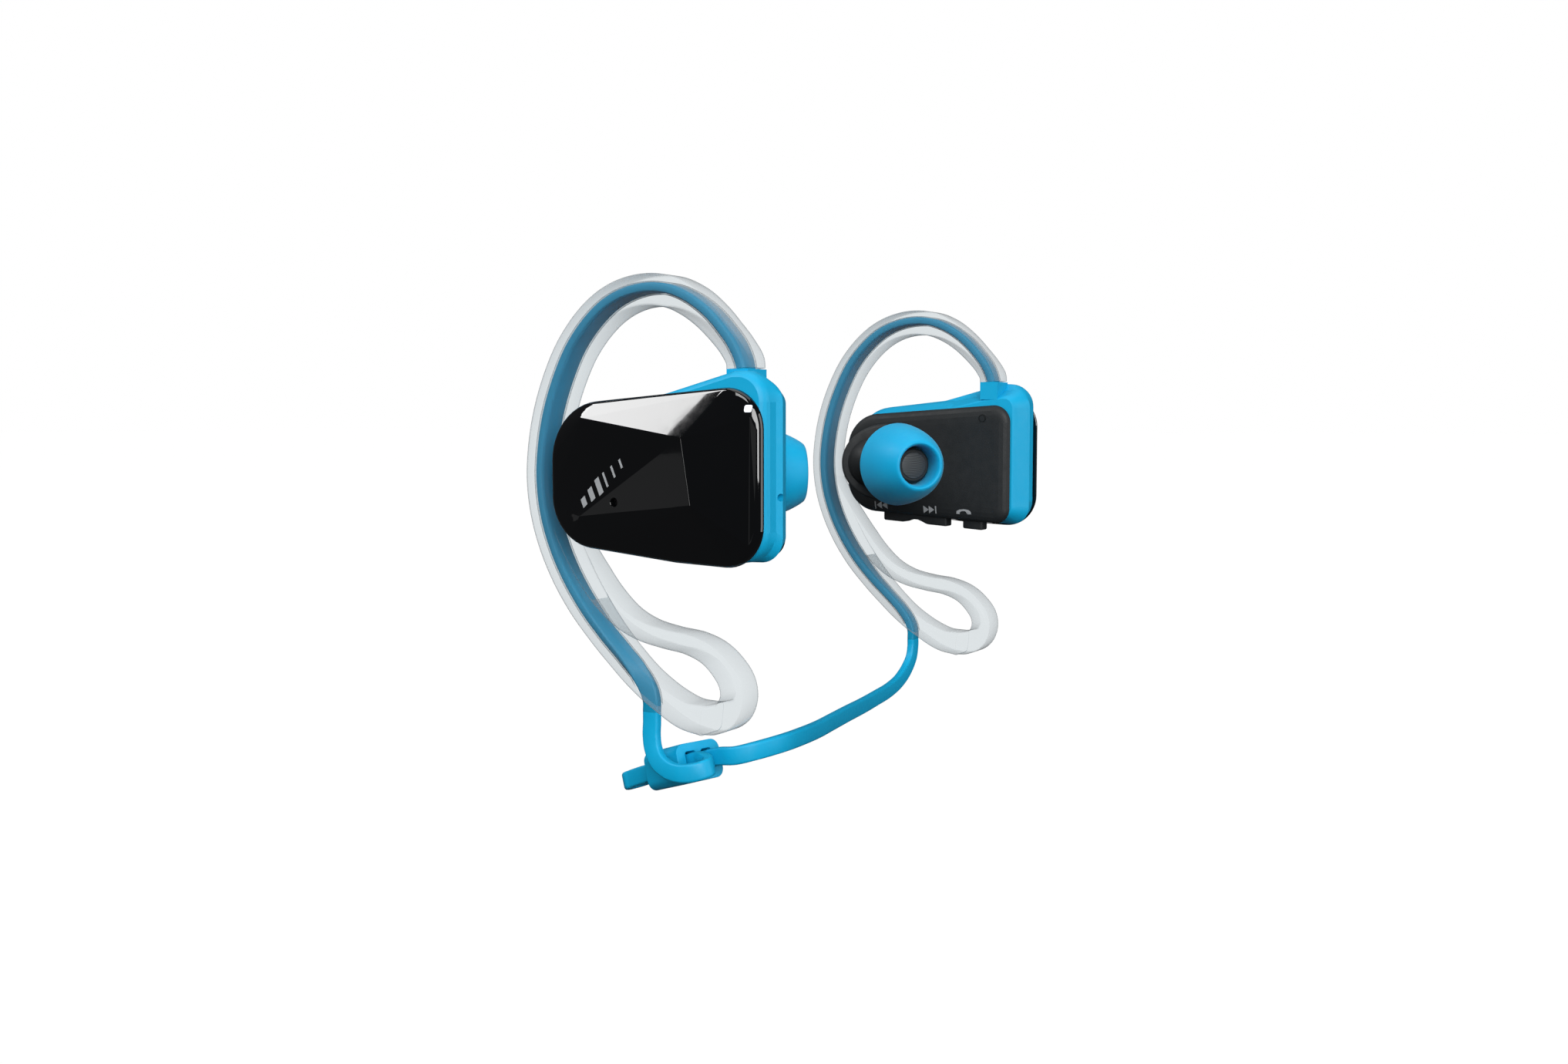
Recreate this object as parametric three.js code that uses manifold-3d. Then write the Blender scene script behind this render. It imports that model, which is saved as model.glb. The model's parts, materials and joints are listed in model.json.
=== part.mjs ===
// Wireless neckband earphones: two earpieces on clear ear hooks, joined by a flat neck strap
// that is threaded through a two-slot adjuster.
//
// Frame, in millimetres: the wearer faces -Y, +Z is up, the wearer's left ear is at +X.
// The origin is midway between the mouths of the two ear tips.
// The earpieces mirror each other about X = 0. Each one is drawn as the left one, with x
// counted outwards from the head, and the right one is turned over by mirrored().

import * as THREE from 'three';
import { mergeVertices } from 'three/addons/utils/BufferGeometryUtils.js';
import { ConvexGeometry } from 'three/addons/geometries/ConvexGeometry.js';
import Module from 'manifold-3d';

const wasm = await Module();
wasm.setup();

// ---------------------------------------------------------------- driving dimensions
const GAP = 0.3;                 // clearance between neighbouring pieces
const HOOK_X = 40.3;             // centre plane of hook, hook cable and strap exit
const SHELL_X = 37.4;            // inner face of the housing
const FRAME_IN_X = 38.0;         // inner edge of the coloured frame
const FRAME_OUT_X = 45.3;        // outer edge of the coloured frame
const WALL = 1.3;                // housing wall thickness
const RIDGE_X = 49.4;            // highest line of the faceted cover
const STRAP_W = 2.5;             // strap width
const STRAP_T = 1.3;             // strap thickness
const TIP_ANGLE = 50;            // degrees from -X towards -Y at which the nozzle points
const TIP_X = 18.96;             // distance of the ear tip's mouth from the middle of the head
const TIP_RADIUS = 6.97;
const TIP_LENGTH = 9.2;
const NOZZLE_R = 2.75;
const NOZZLE_BORE_R = 2.1;
const NOZZLE_SETBACK = 2.7;      // nozzle end behind the tip's mouth
const BOSS = { y: 13.2, z: 0, r: 6.85 };
const BOSS_REAR_X = 28.5;        // highest point of the slanted boss face
const BOSS_FRONT_X = 36.3;       // lowest point of the slanted boss face

// Housing outlines in (y, z), each corner with its fillet radius, counter-clockwise from +X.
const COVER_CORNERS = [
  [-9.7, -11.35, 5.4], [3.5, -10.9, 24.0], [23.6, -9.0, 7.0], [23.6, 9.4, 8.0], [-9.7, 12.0, 5.3],
];
const COVER_BED_CORNERS = COVER_CORNERS.filter((_, i) => i !== 1);
const SHELL_CORNERS = [[-8.0, -10.5, 2.5], [23.5, -8.6, 6.0], [23.5, 8.2, 6.2], [-8.0, 10.2, 3.0]];
const COLLAR = { y0: -5.3, y1: -2.1, x: 4.6, top: 14.0 };

const COLOURS = {
  blue: { color: 0x0aa2d8, roughness: 0.45, metalness: 0 },
  gloss: { color: 0x0a0d10, roughness: 0.08, metalness: 0 },
  matte: { color: 0x282b2d, roughness: 0.6, metalness: 0 },
  clear: { color: 0xc8cdd0, roughness: 0.15, metalness: 0 },
  silicone: { color: 0x0ca4d6, roughness: 0.55, metalness: 0 },
  metal: { color: 0xb9bcc0, roughness: 0.3, metalness: 1 },
  board: { color: 0x0b4a2c, roughness: 0.5, metalness: 0 },
  foil: { color: 0x9aa3ab, roughness: 0.4, metalness: 0.6 },
  white: { color: 0xf0f0ee, roughness: 0.3, metalness: 0 },
  film: { color: 0xd7c9a0, roughness: 0.35, metalness: 0 },
};

// ---------------------------------------------------------------- solids and booleans
function signedVolume(positions, index) {
  const a = new THREE.Vector3();
  const b = new THREE.Vector3();
  const c = new THREE.Vector3();
  let volume = 0;
  for (let i = 0; i < index.length; i += 3) {
    a.fromArray(positions, index[i] * 3);
    b.fromArray(positions, index[i + 1] * 3);
    c.fromArray(positions, index[i + 2] * 3);
    volume += a.dot(b.cross(c)) / 6;
  }
  return volume;
}

// A closed geometry of any three.js class as a Manifold solid with its faces pointing out.
function solid(geometry) {
  let bare = geometry.clone();
  bare.deleteAttribute('normal');
  bare.deleteAttribute('uv');
  bare = mergeVertices(bare, 1e-4);
  const index = Uint32Array.from(bare.index.array);
  if (signedVolume(bare.attributes.position.array, index) < 0) {
    for (let i = 0; i < index.length; i += 3) {
      [index[i], index[i + 1]] = [index[i + 1], index[i]];
    }
  }
  const vertProperties = Float32Array.from(bare.attributes.position.array);
  return new wasm.Manifold(new wasm.Mesh({ numProp: 3, vertProperties, triVerts: index }));
}

function geometryOf(manifold) {
  const mesh = manifold.getMesh();
  const geometry = new THREE.BufferGeometry();
  geometry.setAttribute('position', new THREE.BufferAttribute(Float32Array.from(mesh.vertProperties), 3));
  geometry.setIndex(new THREE.BufferAttribute(Uint32Array.from(mesh.triVerts), 1));
  geometry.computeVertexNormals();
  return geometry;
}

function join(first, ...rest) {
  return rest.reduce((sum, piece) => sum.add(piece), first);
}

function cut(first, ...rest) {
  return rest.reduce((left, piece) => left.subtract(piece), first);
}

// The same piece on the wearer's right.
function mirrored(geometry) {
  const copy = geometry.clone();
  copy.scale(-1, 1, 1);
  const index = copy.index.array;
  for (let i = 0; i < index.length; i += 3) {
    [index[i], index[i + 1]] = [index[i + 1], index[i]];
  }
  copy.computeVertexNormals();
  return copy;
}

// ---------------------------------------------------------------- shape helpers
// A polygon with filleted corners, inset by a distance, always with the same number of points.
function outline(corners, inset = 0, arcSteps = 6) {
  const count = corners.length;
  const edges = corners.map(([y, z], i) => {
    const [ny, nz] = corners[(i + 1) % count];
    const along = new THREE.Vector2(ny - y, nz - z).normalize();
    const inward = new THREE.Vector2(-along.y, along.x);
    return { point: new THREE.Vector2(y, z).addScaledVector(inward, inset), along };
  });
  const points = [];
  corners.forEach(([, , radius], i) => {
    const before = edges[(i + count - 1) % count];
    const after = edges[i];
    const turn = before.along.cross(after.along);
    const offset = after.point.clone().sub(before.point);
    const corner = before.point.clone().addScaledVector(before.along, offset.cross(after.along) / turn);
    const fillet = Math.max(radius - Math.sign(turn) * inset, 0.25);
    const angle = Math.atan2(turn, before.along.dot(after.along));
    const reach = fillet * Math.abs(Math.tan(angle / 2));
    const start = corner.clone().addScaledVector(before.along, -reach);
    const side = new THREE.Vector2(-before.along.y, before.along.x).multiplyScalar(Math.sign(angle));
    const centre = start.clone().addScaledVector(side, fillet);
    for (let s = 0; s <= arcSteps; s += 1) {
      points.push(start.clone().rotateAround(centre, (angle * s) / arcSteps));
    }
  });
  return points;
}

// A closed skin over matching rings of 3-D points, with flat caps at both ends.
function skin(rings, capPoints) {
  const count = rings[0].length;
  const positions = rings.flat().flatMap((p) => [p.x, p.y, p.z]);
  const index = [];
  for (let r = 0; r + 1 < rings.length; r += 1) {
    for (let i = 0; i < count; i += 1) {
      const a = r * count + i;
      const b = r * count + ((i + 1) % count);
      index.push(a, b, b + count, a, b + count, a + count);
    }
  }
  const caps = THREE.ShapeUtils.triangulateShape(capPoints, []);
  const last = (rings.length - 1) * count;
  caps.forEach(([a, b, c]) => index.push(c, b, a, last + a, last + b, last + c));
  const geometry = new THREE.BufferGeometry();
  geometry.setAttribute('position', new THREE.Float32BufferAttribute(positions, 3));
  geometry.setIndex(index);
  return solid(geometry);
}

// Layers of one outline stacked along x: each layer is [x, points].
function stack(...layers) {
  const rings = layers.map(([x, points]) => points.map((p) => new THREE.Vector3(x, p.x, p.y)));
  return skin(rings, layers[0][1]);
}

// A box between two x, y and z limits, with optional rounding of its (y, z) corners.
function block(x0, x1, y0, y1, z0, z1, radius = 0) {
  if (radius === 0) {
    const box = new THREE.BoxGeometry(x1 - x0, y1 - y0, z1 - z0);
    box.translate((x0 + x1) / 2, (y0 + y1) / 2, (z0 + z1) / 2);
    return solid(box);
  }
  const corners = [[y0, z0, radius], [y1, z0, radius], [y1, z1, radius], [y0, z1, radius]];
  const shape = outline(corners, 0, 3);
  return stack([x0, shape], [x1, shape]);
}

function turned(profile, segments = 24) {
  return new THREE.LatheGeometry(profile.map(([r, h]) => new THREE.Vector2(r, h)), segments);
}

// A cylinder along x at (y, z).
function drum(x0, x1, y, z, radius, segments = 24) {
  const cylinder = new THREE.CylinderGeometry(radius, radius, x1 - x0, segments);
  cylinder.rotateZ(Math.PI / 2);
  cylinder.translate((x0 + x1) / 2, y, z);
  return solid(cylinder);
}

// Moves a lathed piece, whose axis is +Y and whose base is at 0, to a point and a direction.
function aim(geometry, from, direction) {
  const up = new THREE.Vector3(0, 1, 0);
  geometry.applyQuaternion(new THREE.Quaternion().setFromUnitVectors(up, direction.clone().normalize()));
  geometry.translate(from.x, from.y, from.z);
  return geometry;
}

// An eight-sided flat section: width along its first axis, thickness along its second.
function flatSection(width, thickness) {
  const w = width / 2;
  const t = thickness / 2;
  const c = Math.min(w, t) * 0.5;
  const corners = [[w, t - c], [w - c, t], [c - w, t], [-w, t - c], [-w, c - t], [c - w, -t], [w - c, -t], [w, c - t]];
  return corners.map(([a, b]) => new THREE.Vector2(a, b));
}

// A centreline whose section keeps the width direction that each of its points asks for.
class RibbonPath extends THREE.CatmullRomCurve3 {
  constructor(points, widths) {
    super(points, false, 'centripetal');
    this.widths = widths;
  }

  // Steps are shared out by points, not by length, so that tight bends get more of them.
  getPointAt(u, target) {
    return this.getPoint(u, target);
  }

  computeFrenetFrames(segments) {
    const frames = { tangents: [], normals: [], binormals: [] };
    for (let i = 0; i <= segments; i += 1) {
      const tangent = this.getTangent(i / segments);
      const at = (i / segments) * (this.widths.length - 1);
      const low = Math.min(Math.floor(at), this.widths.length - 2);
      const width = this.widths[low].clone().lerp(this.widths[low + 1], at - low);
      const stretch = THREE.MathUtils.lerp(this.widths[low].length(), this.widths[low + 1].length(), at - low);
      width.addScaledVector(tangent, -width.dot(tangent)).normalize();
      frames.tangents.push(tangent);
      frames.normals.push(width);
      frames.binormals.push(tangent.clone().cross(width));
      width.multiplyScalar(stretch);
    }
    return frames;
  }
}

// A flat ribbon through [x, y, z] points; wide gives the width direction at every point, and its
// length stretches the width there.
function ribbon(points, wide, width, thickness, steps) {
  const path = new RibbonPath(
    points.map((p) => new THREE.Vector3(...p)),
    wide.map((w) => new THREE.Vector3(...w)),
  );
  const section = new THREE.Shape(flatSection(width, thickness));
  return new THREE.ExtrudeGeometry(section, { steps, extrudePath: path, bevelEnabled: false });
}

// ---------------------------------------------------------------- where the nozzle points
const tipAngle = THREE.MathUtils.degToRad(TIP_ANGLE);
const NOZZLE_DIRECTION = new THREE.Vector3(-Math.cos(tipAngle), -Math.sin(tipAngle), 0);

// A point on the nozzle's axis, a distance behind the mouth of the ear tip.
function onNozzleAxis(behind) {
  return new THREE.Vector3(TIP_X, 0, 0).addScaledVector(NOZZLE_DIRECTION, -behind);
}

// The slanted outer face of the boss that carries the nozzle.
const bossFaceCentre = new THREE.Vector3((BOSS_REAR_X + BOSS_FRONT_X) / 2, BOSS.y, BOSS.z);
const bossFaceNormal = new THREE.Vector3(-2 * BOSS.r, -(BOSS_FRONT_X - BOSS_REAR_X), 0).normalize();

// ---------------------------------------------------------------- housing pieces
const FRAME_TOP_INNER = [[-5.9, 12.2, 0.5], [-1.4, 12.2, 1.0], [4.0, 10.8, 2.0]];
const FRAME_TOP_OUTER = [[-5.9, 13.9, 0.5], [-1.4, 13.9, 1.0], [6.4, 11.0, 2.0]];

function frameCorners(top) {
  const [front, crest, foot] = top;
  return [
    [-10.0, -10.9, 2.6], [23.4, -8.8, 6.2], [23.4, 9.2, 6.6], foot, crest, front,
    [-6.3, 13.1, 0.3], [-10.0, 13.3, 1.9],
  ];
}

function frameSolid() {
  const inner = frameCorners(FRAME_TOP_INNER);
  const outer = frameCorners(FRAME_TOP_OUTER);
  const body = stack(
    [FRAME_IN_X, outline(inner, 1.5)],
    [FRAME_IN_X + 3.0, outline(inner, 0)],
    [FRAME_IN_X + 4.0, outline(outer, 0)],
    [FRAME_OUT_X, outline(outer, 0)],
  );
  const collar = block(HOOK_X - COLLAR.x / 2, HOOK_X + COLLAR.x / 2, COLLAR.y0, COLLAR.y1, 11, COLLAR.top, 0.4);
  const hollow = stack(
    [FRAME_IN_X - 1, outline(SHELL_CORNERS, WALL)],
    [FRAME_OUT_X + 1, outline(COVER_BED_CORNERS, WALL + 0.5)],
  );
  const w = STRAP_W / 2 + GAP;
  const t = STRAP_T / 2 + GAP;
  const mid = (COLLAR.y0 + COLLAR.y1) / 2;
  const cableHole = block(HOOK_X - w, HOOK_X + w, mid - t, mid + t, 8, COLLAR.top + 1);
  return cut(join(body, collar), hollow, cableHole);
}

// The matte inner shell: a shallow tray with the nozzle boss standing on it.
function innerShellSolid() {
  const tray = stack(
    [FRAME_IN_X - GAP, outline(SHELL_CORNERS, 0)],
    [SHELL_X, outline(SHELL_CORNERS, 0.15)],
    [SHELL_X - 0.5, outline(SHELL_CORNERS, 0.9)],
    [SHELL_X - 0.7, outline(SHELL_CORNERS, 2.2)],
  );
  const lip = stack(
    [FRAME_IN_X + 1.4, outline(SHELL_CORNERS, WALL + GAP)],
    [FRAME_IN_X - GAP - 0.2, outline(SHELL_CORNERS, WALL + GAP)],
  );
  const trimTop = new THREE.BoxGeometry(20, 40, 40);
  trimTop.translate(-10, 0, 0);
  const faceTurn = new THREE.Quaternion().setFromUnitVectors(new THREE.Vector3(-1, 0, 0), bossFaceNormal);
  const slantOff = (depth) => {
    const cutter = trimTop.clone();
    cutter.applyQuaternion(faceTurn);
    const at = bossFaceCentre.clone().addScaledVector(bossFaceNormal, -depth);
    cutter.translate(at.x, at.y, at.z);
    return solid(cutter);
  };
  const boss = cut(drum(BOSS_REAR_X - 2, SHELL_X, BOSS.y, BOSS.z, BOSS.r, 32), slantOff(0));
  const bossHollow = cut(drum(BOSS_REAR_X - 2, SHELL_X + 6, BOSS.y, BOSS.z, BOSS.r - 1.1, 32), slantOff(1.1));
  const neckLength = 13.5;
  const neck = turned([
    [0, 0], [4.4, 0], [4.3, 3.2], [3.2, 5.2], [NOZZLE_R, 6.2], [NOZZLE_R, neckLength + 6.0 - 1.2],
    [NOZZLE_R + 0.15, neckLength + 5.2], [NOZZLE_R - 0.15, neckLength + 6.0], [0, neckLength + 6.0],
  ], 24);
  const neckStart = onNozzleAxis(NOZZLE_SETBACK + neckLength + 6.0);
  const nozzle = solid(aim(neck, neckStart, NOZZLE_DIRECTION));
  const bore = solid(aim(turned([[0, 0], [NOZZLE_BORE_R, 0], [NOZZLE_BORE_R, 30], [0, 30]], 20), neckStart, NOZZLE_DIRECTION));
  const inside = drum(SHELL_X + 0.2, SHELL_X + 12, BOSS.y, BOSS.z, BOSS.r + 3);
  const hollow = stack(
    [SHELL_X + 0.5, outline(SHELL_CORNERS, WALL + 1.0)],
    [FRAME_IN_X + 3, outline(SHELL_CORNERS, WALL + 1.0)],
  );
  const ventSlot = block(BOSS_REAR_X - 1, BOSS_REAR_X + 3, 17.6, 17.95, -0.6, 0.6);
  return cut(join(tray, lip, boss, cut(nozzle, inside)), hollow, bossHollow, bore, ventSlot);
}

// The faceted gloss cover: a low crystal shape with one short ridge.
const RIDGE = [[0.3, 5.2], [-0.9, -3.3]];
const FRONT_CREASE = [[-8.3, 7.9], [-8.2, -8.2]];
const REAR_PLATE = [[17.5, 7.7], [18.2, -5.3]];
const MIC_AT = { y: 12.0, z: -3.25 };
const LED_AT = { y: -8.0, z: 8.9 };

function crystal(inset) {
  const level = (x, list) => list.map(([y, z]) => new THREE.Vector3(x, y, z));
  const rim = (x, extra) => outline(COVER_CORNERS, inset + extra).map((p) => new THREE.Vector3(x, p.x, p.y));
  const shrink = (list) => list.map(([y, z]) => [y - Math.sign(y - 6) * inset * 0.8, z - Math.sign(z) * inset * 0.5]);
  const points = [
    ...rim(FRAME_OUT_X + GAP - (inset > 0 ? 1 : 0), 0),
    ...rim(FRAME_OUT_X + 0.8 - inset * 0.5, 0),
    ...rim(FRAME_OUT_X + 1.2 - inset * 0.6, 0.5),
    ...shrink(RIDGE).map(([y, z], i) => new THREE.Vector3(RIDGE_X - 0.3 * i - inset, y, z)),
    ...level(46.95 - inset, shrink(FRONT_CREASE)),
    ...shrink(REAR_PLATE).map(([y, z], i) => new THREE.Vector3(47.5 - 0.3 * i - inset, y, z)),
  ];
  return solid(new ConvexGeometry(points));
}

function coverSolid(holes) {
  const lip = cut(
    stack([FRAME_OUT_X - 1.4, outline(COVER_CORNERS, WALL + 1.4)], [FRAME_OUT_X + 1, outline(COVER_CORNERS, WALL + 1.4)]),
    stack([FRAME_OUT_X - 2, outline(COVER_CORNERS, WALL + 2.2)], [FRAME_OUT_X + 2, outline(COVER_CORNERS, WALL + 2.2)]),
  );
  return cut(join(cut(crystal(0), crystal(1.2)), lip), ...holes);
}

// ---------------------------------------------------------------- what sits on the nozzle
function earTipGeometry() {
  const sleeve = NOZZLE_R + 0.15 + GAP;
  const dome = [[3.75, 0.12], [4.6, 1.3], [5.35, 2.7], [6.0, 4.3], [6.55, 6.1], [6.9, 7.9], [TIP_RADIUS, TIP_LENGTH]];
  const inside = [[6.2, TIP_LENGTH], [6.0, 7.4], [5.4, 5.0], [4.6, 3.2]];
  const profile = [
    [sleeve, 1.6], [3.2, 0.45], [3.45, 0.1],
    ...dome, ...inside,
    [4.1, 2.6], [3.9, 3.4], [3.9, 8.0], [sleeve, 8.0], [sleeve, 1.6],
  ];
  const lathe = turned(profile, 24);
  return aim(lathe, onNozzleAxis(0), NOZZLE_DIRECTION.clone().negate());
}

function nozzleMeshGeometry() {
  const disc = turned([[0, 0], [NOZZLE_BORE_R - GAP, 0], [NOZZLE_BORE_R - GAP, 0.4], [0, 0.4]], 20);
  return aim(disc, onNozzleAxis(NOZZLE_SETBACK + 0.7), NOZZLE_DIRECTION);
}

function driverGeometry() {
  const basket = turned([[0, 0], [2.6, 0], [2.6, 1.0], [4.0, 1.4], [4.0, 2.2], [3.4, 2.2], [3.2, 1.8], [0, 1.8]], 24);
  const back = bossFaceCentre.clone().addScaledVector(bossFaceNormal, -4.6).add(new THREE.Vector3(0, -0.6, 0));
  return aim(basket, back, bossFaceNormal);
}

function diaphragmGeometry() {
  const dome = turned([[0, 0], [3.0, 0], [3.0, 0.15], [2.2, 0.35], [1.2, 0.6], [0, 0.7]], 24);
  const at = bossFaceCentre.clone().addScaledVector(bossFaceNormal, -2.4).add(new THREE.Vector3(0, -0.6, 0));
  return aim(dome, at, bossFaceNormal);
}

// ---------------------------------------------------------------- the clear ear hook
// Centreline stations [y, z, radial thickness] from the collar over the ear to the loop's bottom.
const HOOK_MAIN = [
  [-3.7, 14.5, 3.3], [-3.6, 15.1, 3.3], [-2.4, 17.0, 3.2], [-0.6, 19.0, 3.3], [1.6, 21.1, 3.6], [4.3, 23.0, 4.0],
  [7.4, 24.3, 4.2], [10.9, 24.7, 4.2], [14.4, 24.2, 4.2], [17.6, 22.9, 4.2], [20.6, 20.7, 4.2],
  [23.6, 17.3, 4.2], [26.0, 13.0, 4.2], [27.8, 8.2, 4.2], [28.8, 3.4, 4.2], [29.05, -1.0, 4.2],
  [28.4, -5.6, 4.2], [26.9, -10.0, 4.2], [24.8, -14.0, 4.2], [22.2, -17.8, 4.0], [19.3, -21.2, 3.6],
  [16.0, -24.5, 3.3], [12.4, -27.6, 3.2], [8.6, -30.0, 3.3], [5.0, -31.6, 3.7], [1.8, -32.0, 4.1],
];
// The loop goes on from there, round its nose and back up to the main branch.
const HOOK_LOOP = [
  [3.4, -31.9, 3.8], [0.6, -31.8, 4.0], [-1.5, -30.9, 3.7], [-2.5, -29.0, 3.4], [-2.3, -26.9, 3.2],
  [-0.9, -24.9, 3.0], [1.2, -23.2, 2.8], [4.2, -22.1, 2.7], [8.0, -21.6, 2.6], [12.0, -20.8, 2.6],
  [15.4, -19.3, 2.7], [18.6, -16.7, 2.9], [21.2, -13.7, 3.0], [23.6, -10.4, 2.8], [25.6, -7.2, 2.4],
  [27.2, -4.2, 2.0], [28.4, -1.5, 1.6],
];
const HOOK_WIDTH = 5.5;
const STRAP_EXIT = { y: 11.5, z: -31.7 };

// A rounded band that follows planar stations, its width along x.
function band(stations, steps) {
  const centre = new THREE.CatmullRomCurve3(stations.map(([y, z]) => new THREE.Vector3(0, y, z)), false, 'centripetal');
  const rings = [];
  for (let i = 0; i <= steps; i += 1) {
    const t = i / steps;
    const point = centre.getPoint(t);
    const tangent = centre.getTangent(t);
    const out = new THREE.Vector3(0, -tangent.z, tangent.y);
    const at = t * (stations.length - 1);
    const low = Math.min(Math.floor(at), stations.length - 2);
    const radial = THREE.MathUtils.lerp(stations[low][2], stations[low + 1][2], at - low);
    const corner = 0.9;
    const w = HOOK_WIDTH / 2;
    const r = radial / 2;
    const section = [
      [w, r - corner], [w - corner, r], [corner - w, r], [-w, r - corner],
      [-w, corner - r], [corner - w, -r], [w - corner, -r], [w, corner - r],
    ];
    rings.push(section.map(([a, b]) => point.clone().addScaledVector(out, b).setX(HOOK_X + a)));
  }
  return skin(rings, flatSection(HOOK_WIDTH, 4));
}

// The hook cable's stations [y, z] and, on the right side only, how far its width has turned
// from sideways to fore and aft.
const CABLE_ROUTE = [
  [-3.7, 9.2, 0], [-3.7, 11.6, 0], [-3.7, 14.2, 0], [-2.6, 16.9, 0], [-0.8, 19.2, 0], [1.4, 21.4, 0], [4.2, 23.3, 0],
  [7.4, 24.6, 0], [10.9, 25.0, 0], [14.5, 24.5, 0], [17.8, 23.2, 0], [20.9, 20.9, 0], [23.9, 17.5, 0], [26.3, 13.1, 0],
  [28.1, 8.3, 0], [29.1, 3.4, 0], [29.35, -1.0, 0], [28.7, -5.7, 0], [27.2, -10.1, 0], [25.1, -14.1, 0], [22.4, -17.9, 0],
  [19.4, -21.3, 0.15], [16.2, -24.3, 0.4], [13.6, -26.8, 0.7], [12.0, -29.0, 0.9], [11.5, -30.6, 1], [11.5, -31.7, 1],
];

// Between its ends the cable in the hook is wider than the strap by this share.
const CABLE_STRETCH = 0.44;

function cableGeometry(twisted, clearance = 0, overrun = 0) {
  const last = CABLE_ROUTE.length - 1;
  const points = CABLE_ROUTE.map(([y, z], i) => [HOOK_X, y, i === 0 || i === last ? z - overrun : z]);
  const wide = CABLE_ROUTE.map(([, , share], i) => {
    const angle = twisted ? (share * Math.PI) / 2 : 0;
    const stretch = 1 + CABLE_STRETCH * THREE.MathUtils.clamp(Math.min(i - 2, last - 4.5 - i) / 2, 0, 1);
    return [Math.cos(angle) * stretch, Math.sin(angle) * stretch, 0];
  });
  return ribbon(points, wide, STRAP_W + 2 * clearance, STRAP_T + 2 * clearance, 52);
}

function hookSolid(twisted) {
  const channel = solid(cableGeometry(twisted, GAP, 3));
  return cut(join(band(HOOK_MAIN, 42), band(HOOK_LOOP, 24)), channel);
}

// ---------------------------------------------------------------- inside the housings
const BOARD_X = 39.9;

function boardSolid() {
  const shape = outline([[-5.5, -2.7, 1], [9.5, -2.7, 1], [9.5, 6.8, 1], [-5.5, 6.8, 1]], 0, 2);
  const plate = stack([BOARD_X, shape], [BOARD_X + 0.8, shape]);
  const chip = block(BOARD_X - 0.9, BOARD_X + 0.1, -2.5, 1.5, 0.0, 4.0);
  return join(plate, chip);
}

const batteryGeometry = () => geometryOf(block(42.2, 45.2, -5.0, 9.0, -6.0, 6.0, 1.2));
const antennaGeometry = () => geometryOf(block(41.4, 42.0, 11.0, 19.0, 4.2, 6.2, 0.3));

// Bottom edge of the frame at a given y, where the keys and the charging port sit.
function bottomEdge(y) {
  const [y0, z0] = [-10.0, -10.9];
  const [y1, z1] = [23.4, -8.8];
  return z0 + ((z1 - z0) * (y - y0)) / (y1 - y0);
}

const KEY_X = { x0: 38.0, x1: 40.4 };
const SWITCH_X = 39.7;
const ROCKER = { y0: 4.0, y1: 16.4, pivotY: 9.7, pivotZ: -8.6 };
const CALL_KEY = { y0: -2.8, y1: 0.9 };
const KEY_TOP_Z = -7.9;
const KEY_PROUD = 1.25;

function rockerSolid() {
  const z = (y, proud) => bottomEdge(y) - proud;
  const { y0, y1, pivotY: m } = ROCKER;
  const profile = [
    [y0, KEY_TOP_Z], [y0, z(y0, KEY_PROUD)], [m - 1.9, z(m - 1.9, KEY_PROUD)], [m - 0.6, z(m, 0.55)],
    [m + 0.6, z(m, 0.55)], [m + 1.9, z(m + 1.9, KEY_PROUD)], [y1, z(y1, KEY_PROUD)], [y1, KEY_TOP_Z],
  ].map(([y, h]) => new THREE.Vector2(y, h));
  return stack([KEY_X.x0, profile], [KEY_X.x1, profile]);
}

function callKeySolid() {
  const { y0, y1 } = CALL_KEY;
  const profile = [
    [y0, KEY_TOP_Z], [y0, bottomEdge(y0) - KEY_PROUD], [y1, bottomEdge(y1) - KEY_PROUD], [y1, KEY_TOP_Z],
  ].map(([y, h]) => new THREE.Vector2(y, h));
  return stack([KEY_X.x0, profile], [KEY_X.x1, profile]);
}

// A straight-through slot in the frame's bottom wall, and in the shell's and cover's lips behind it.
function bottomSlot(y0, y1) {
  return block(KEY_X.x0 - GAP, KEY_X.x1 + GAP, y0 - GAP, y1 + GAP, -14, -6.5);
}

const SWITCH_TOP_Z = -5.9;
const SWITCH_AT = { prev: 14.0, next: 5.4, call: -1.5 };

function switchGeometry(y) {
  const x = SWITCH_X;
  return geometryOf(join(
    block(x - 1.3, x + 1.3, y - 1.3, y + 1.3, SWITCH_TOP_Z - 0.9, SWITCH_TOP_Z),
    block(x - 0.6, x + 0.6, y - 0.6, y + 0.6, SWITCH_TOP_Z - 1.3, SWITCH_TOP_Z - 0.8),
  ));
}

const PORT = { y0: 3.2, y1: 12.4 };
const FLAP_HINGE_Y = 12.9;

function portSolid() {
  const x = (KEY_X.x0 + KEY_X.x1) / 2 + 0.1;
  const mid = (PORT.y0 + PORT.y1) / 2;
  const can = block(x - 1.2, x + 1.2, mid - 3.8, mid + 3.8, -8.4, -3.2);
  const mouth = block(x - 0.85, x + 0.85, mid - 3.45, mid + 3.45, -9, -4);
  const tongue = block(x - 0.3, x + 0.3, mid - 2.8, mid + 2.8, -8.0, -3.9);
  return join(cut(can, mouth), tongue);
}

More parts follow.
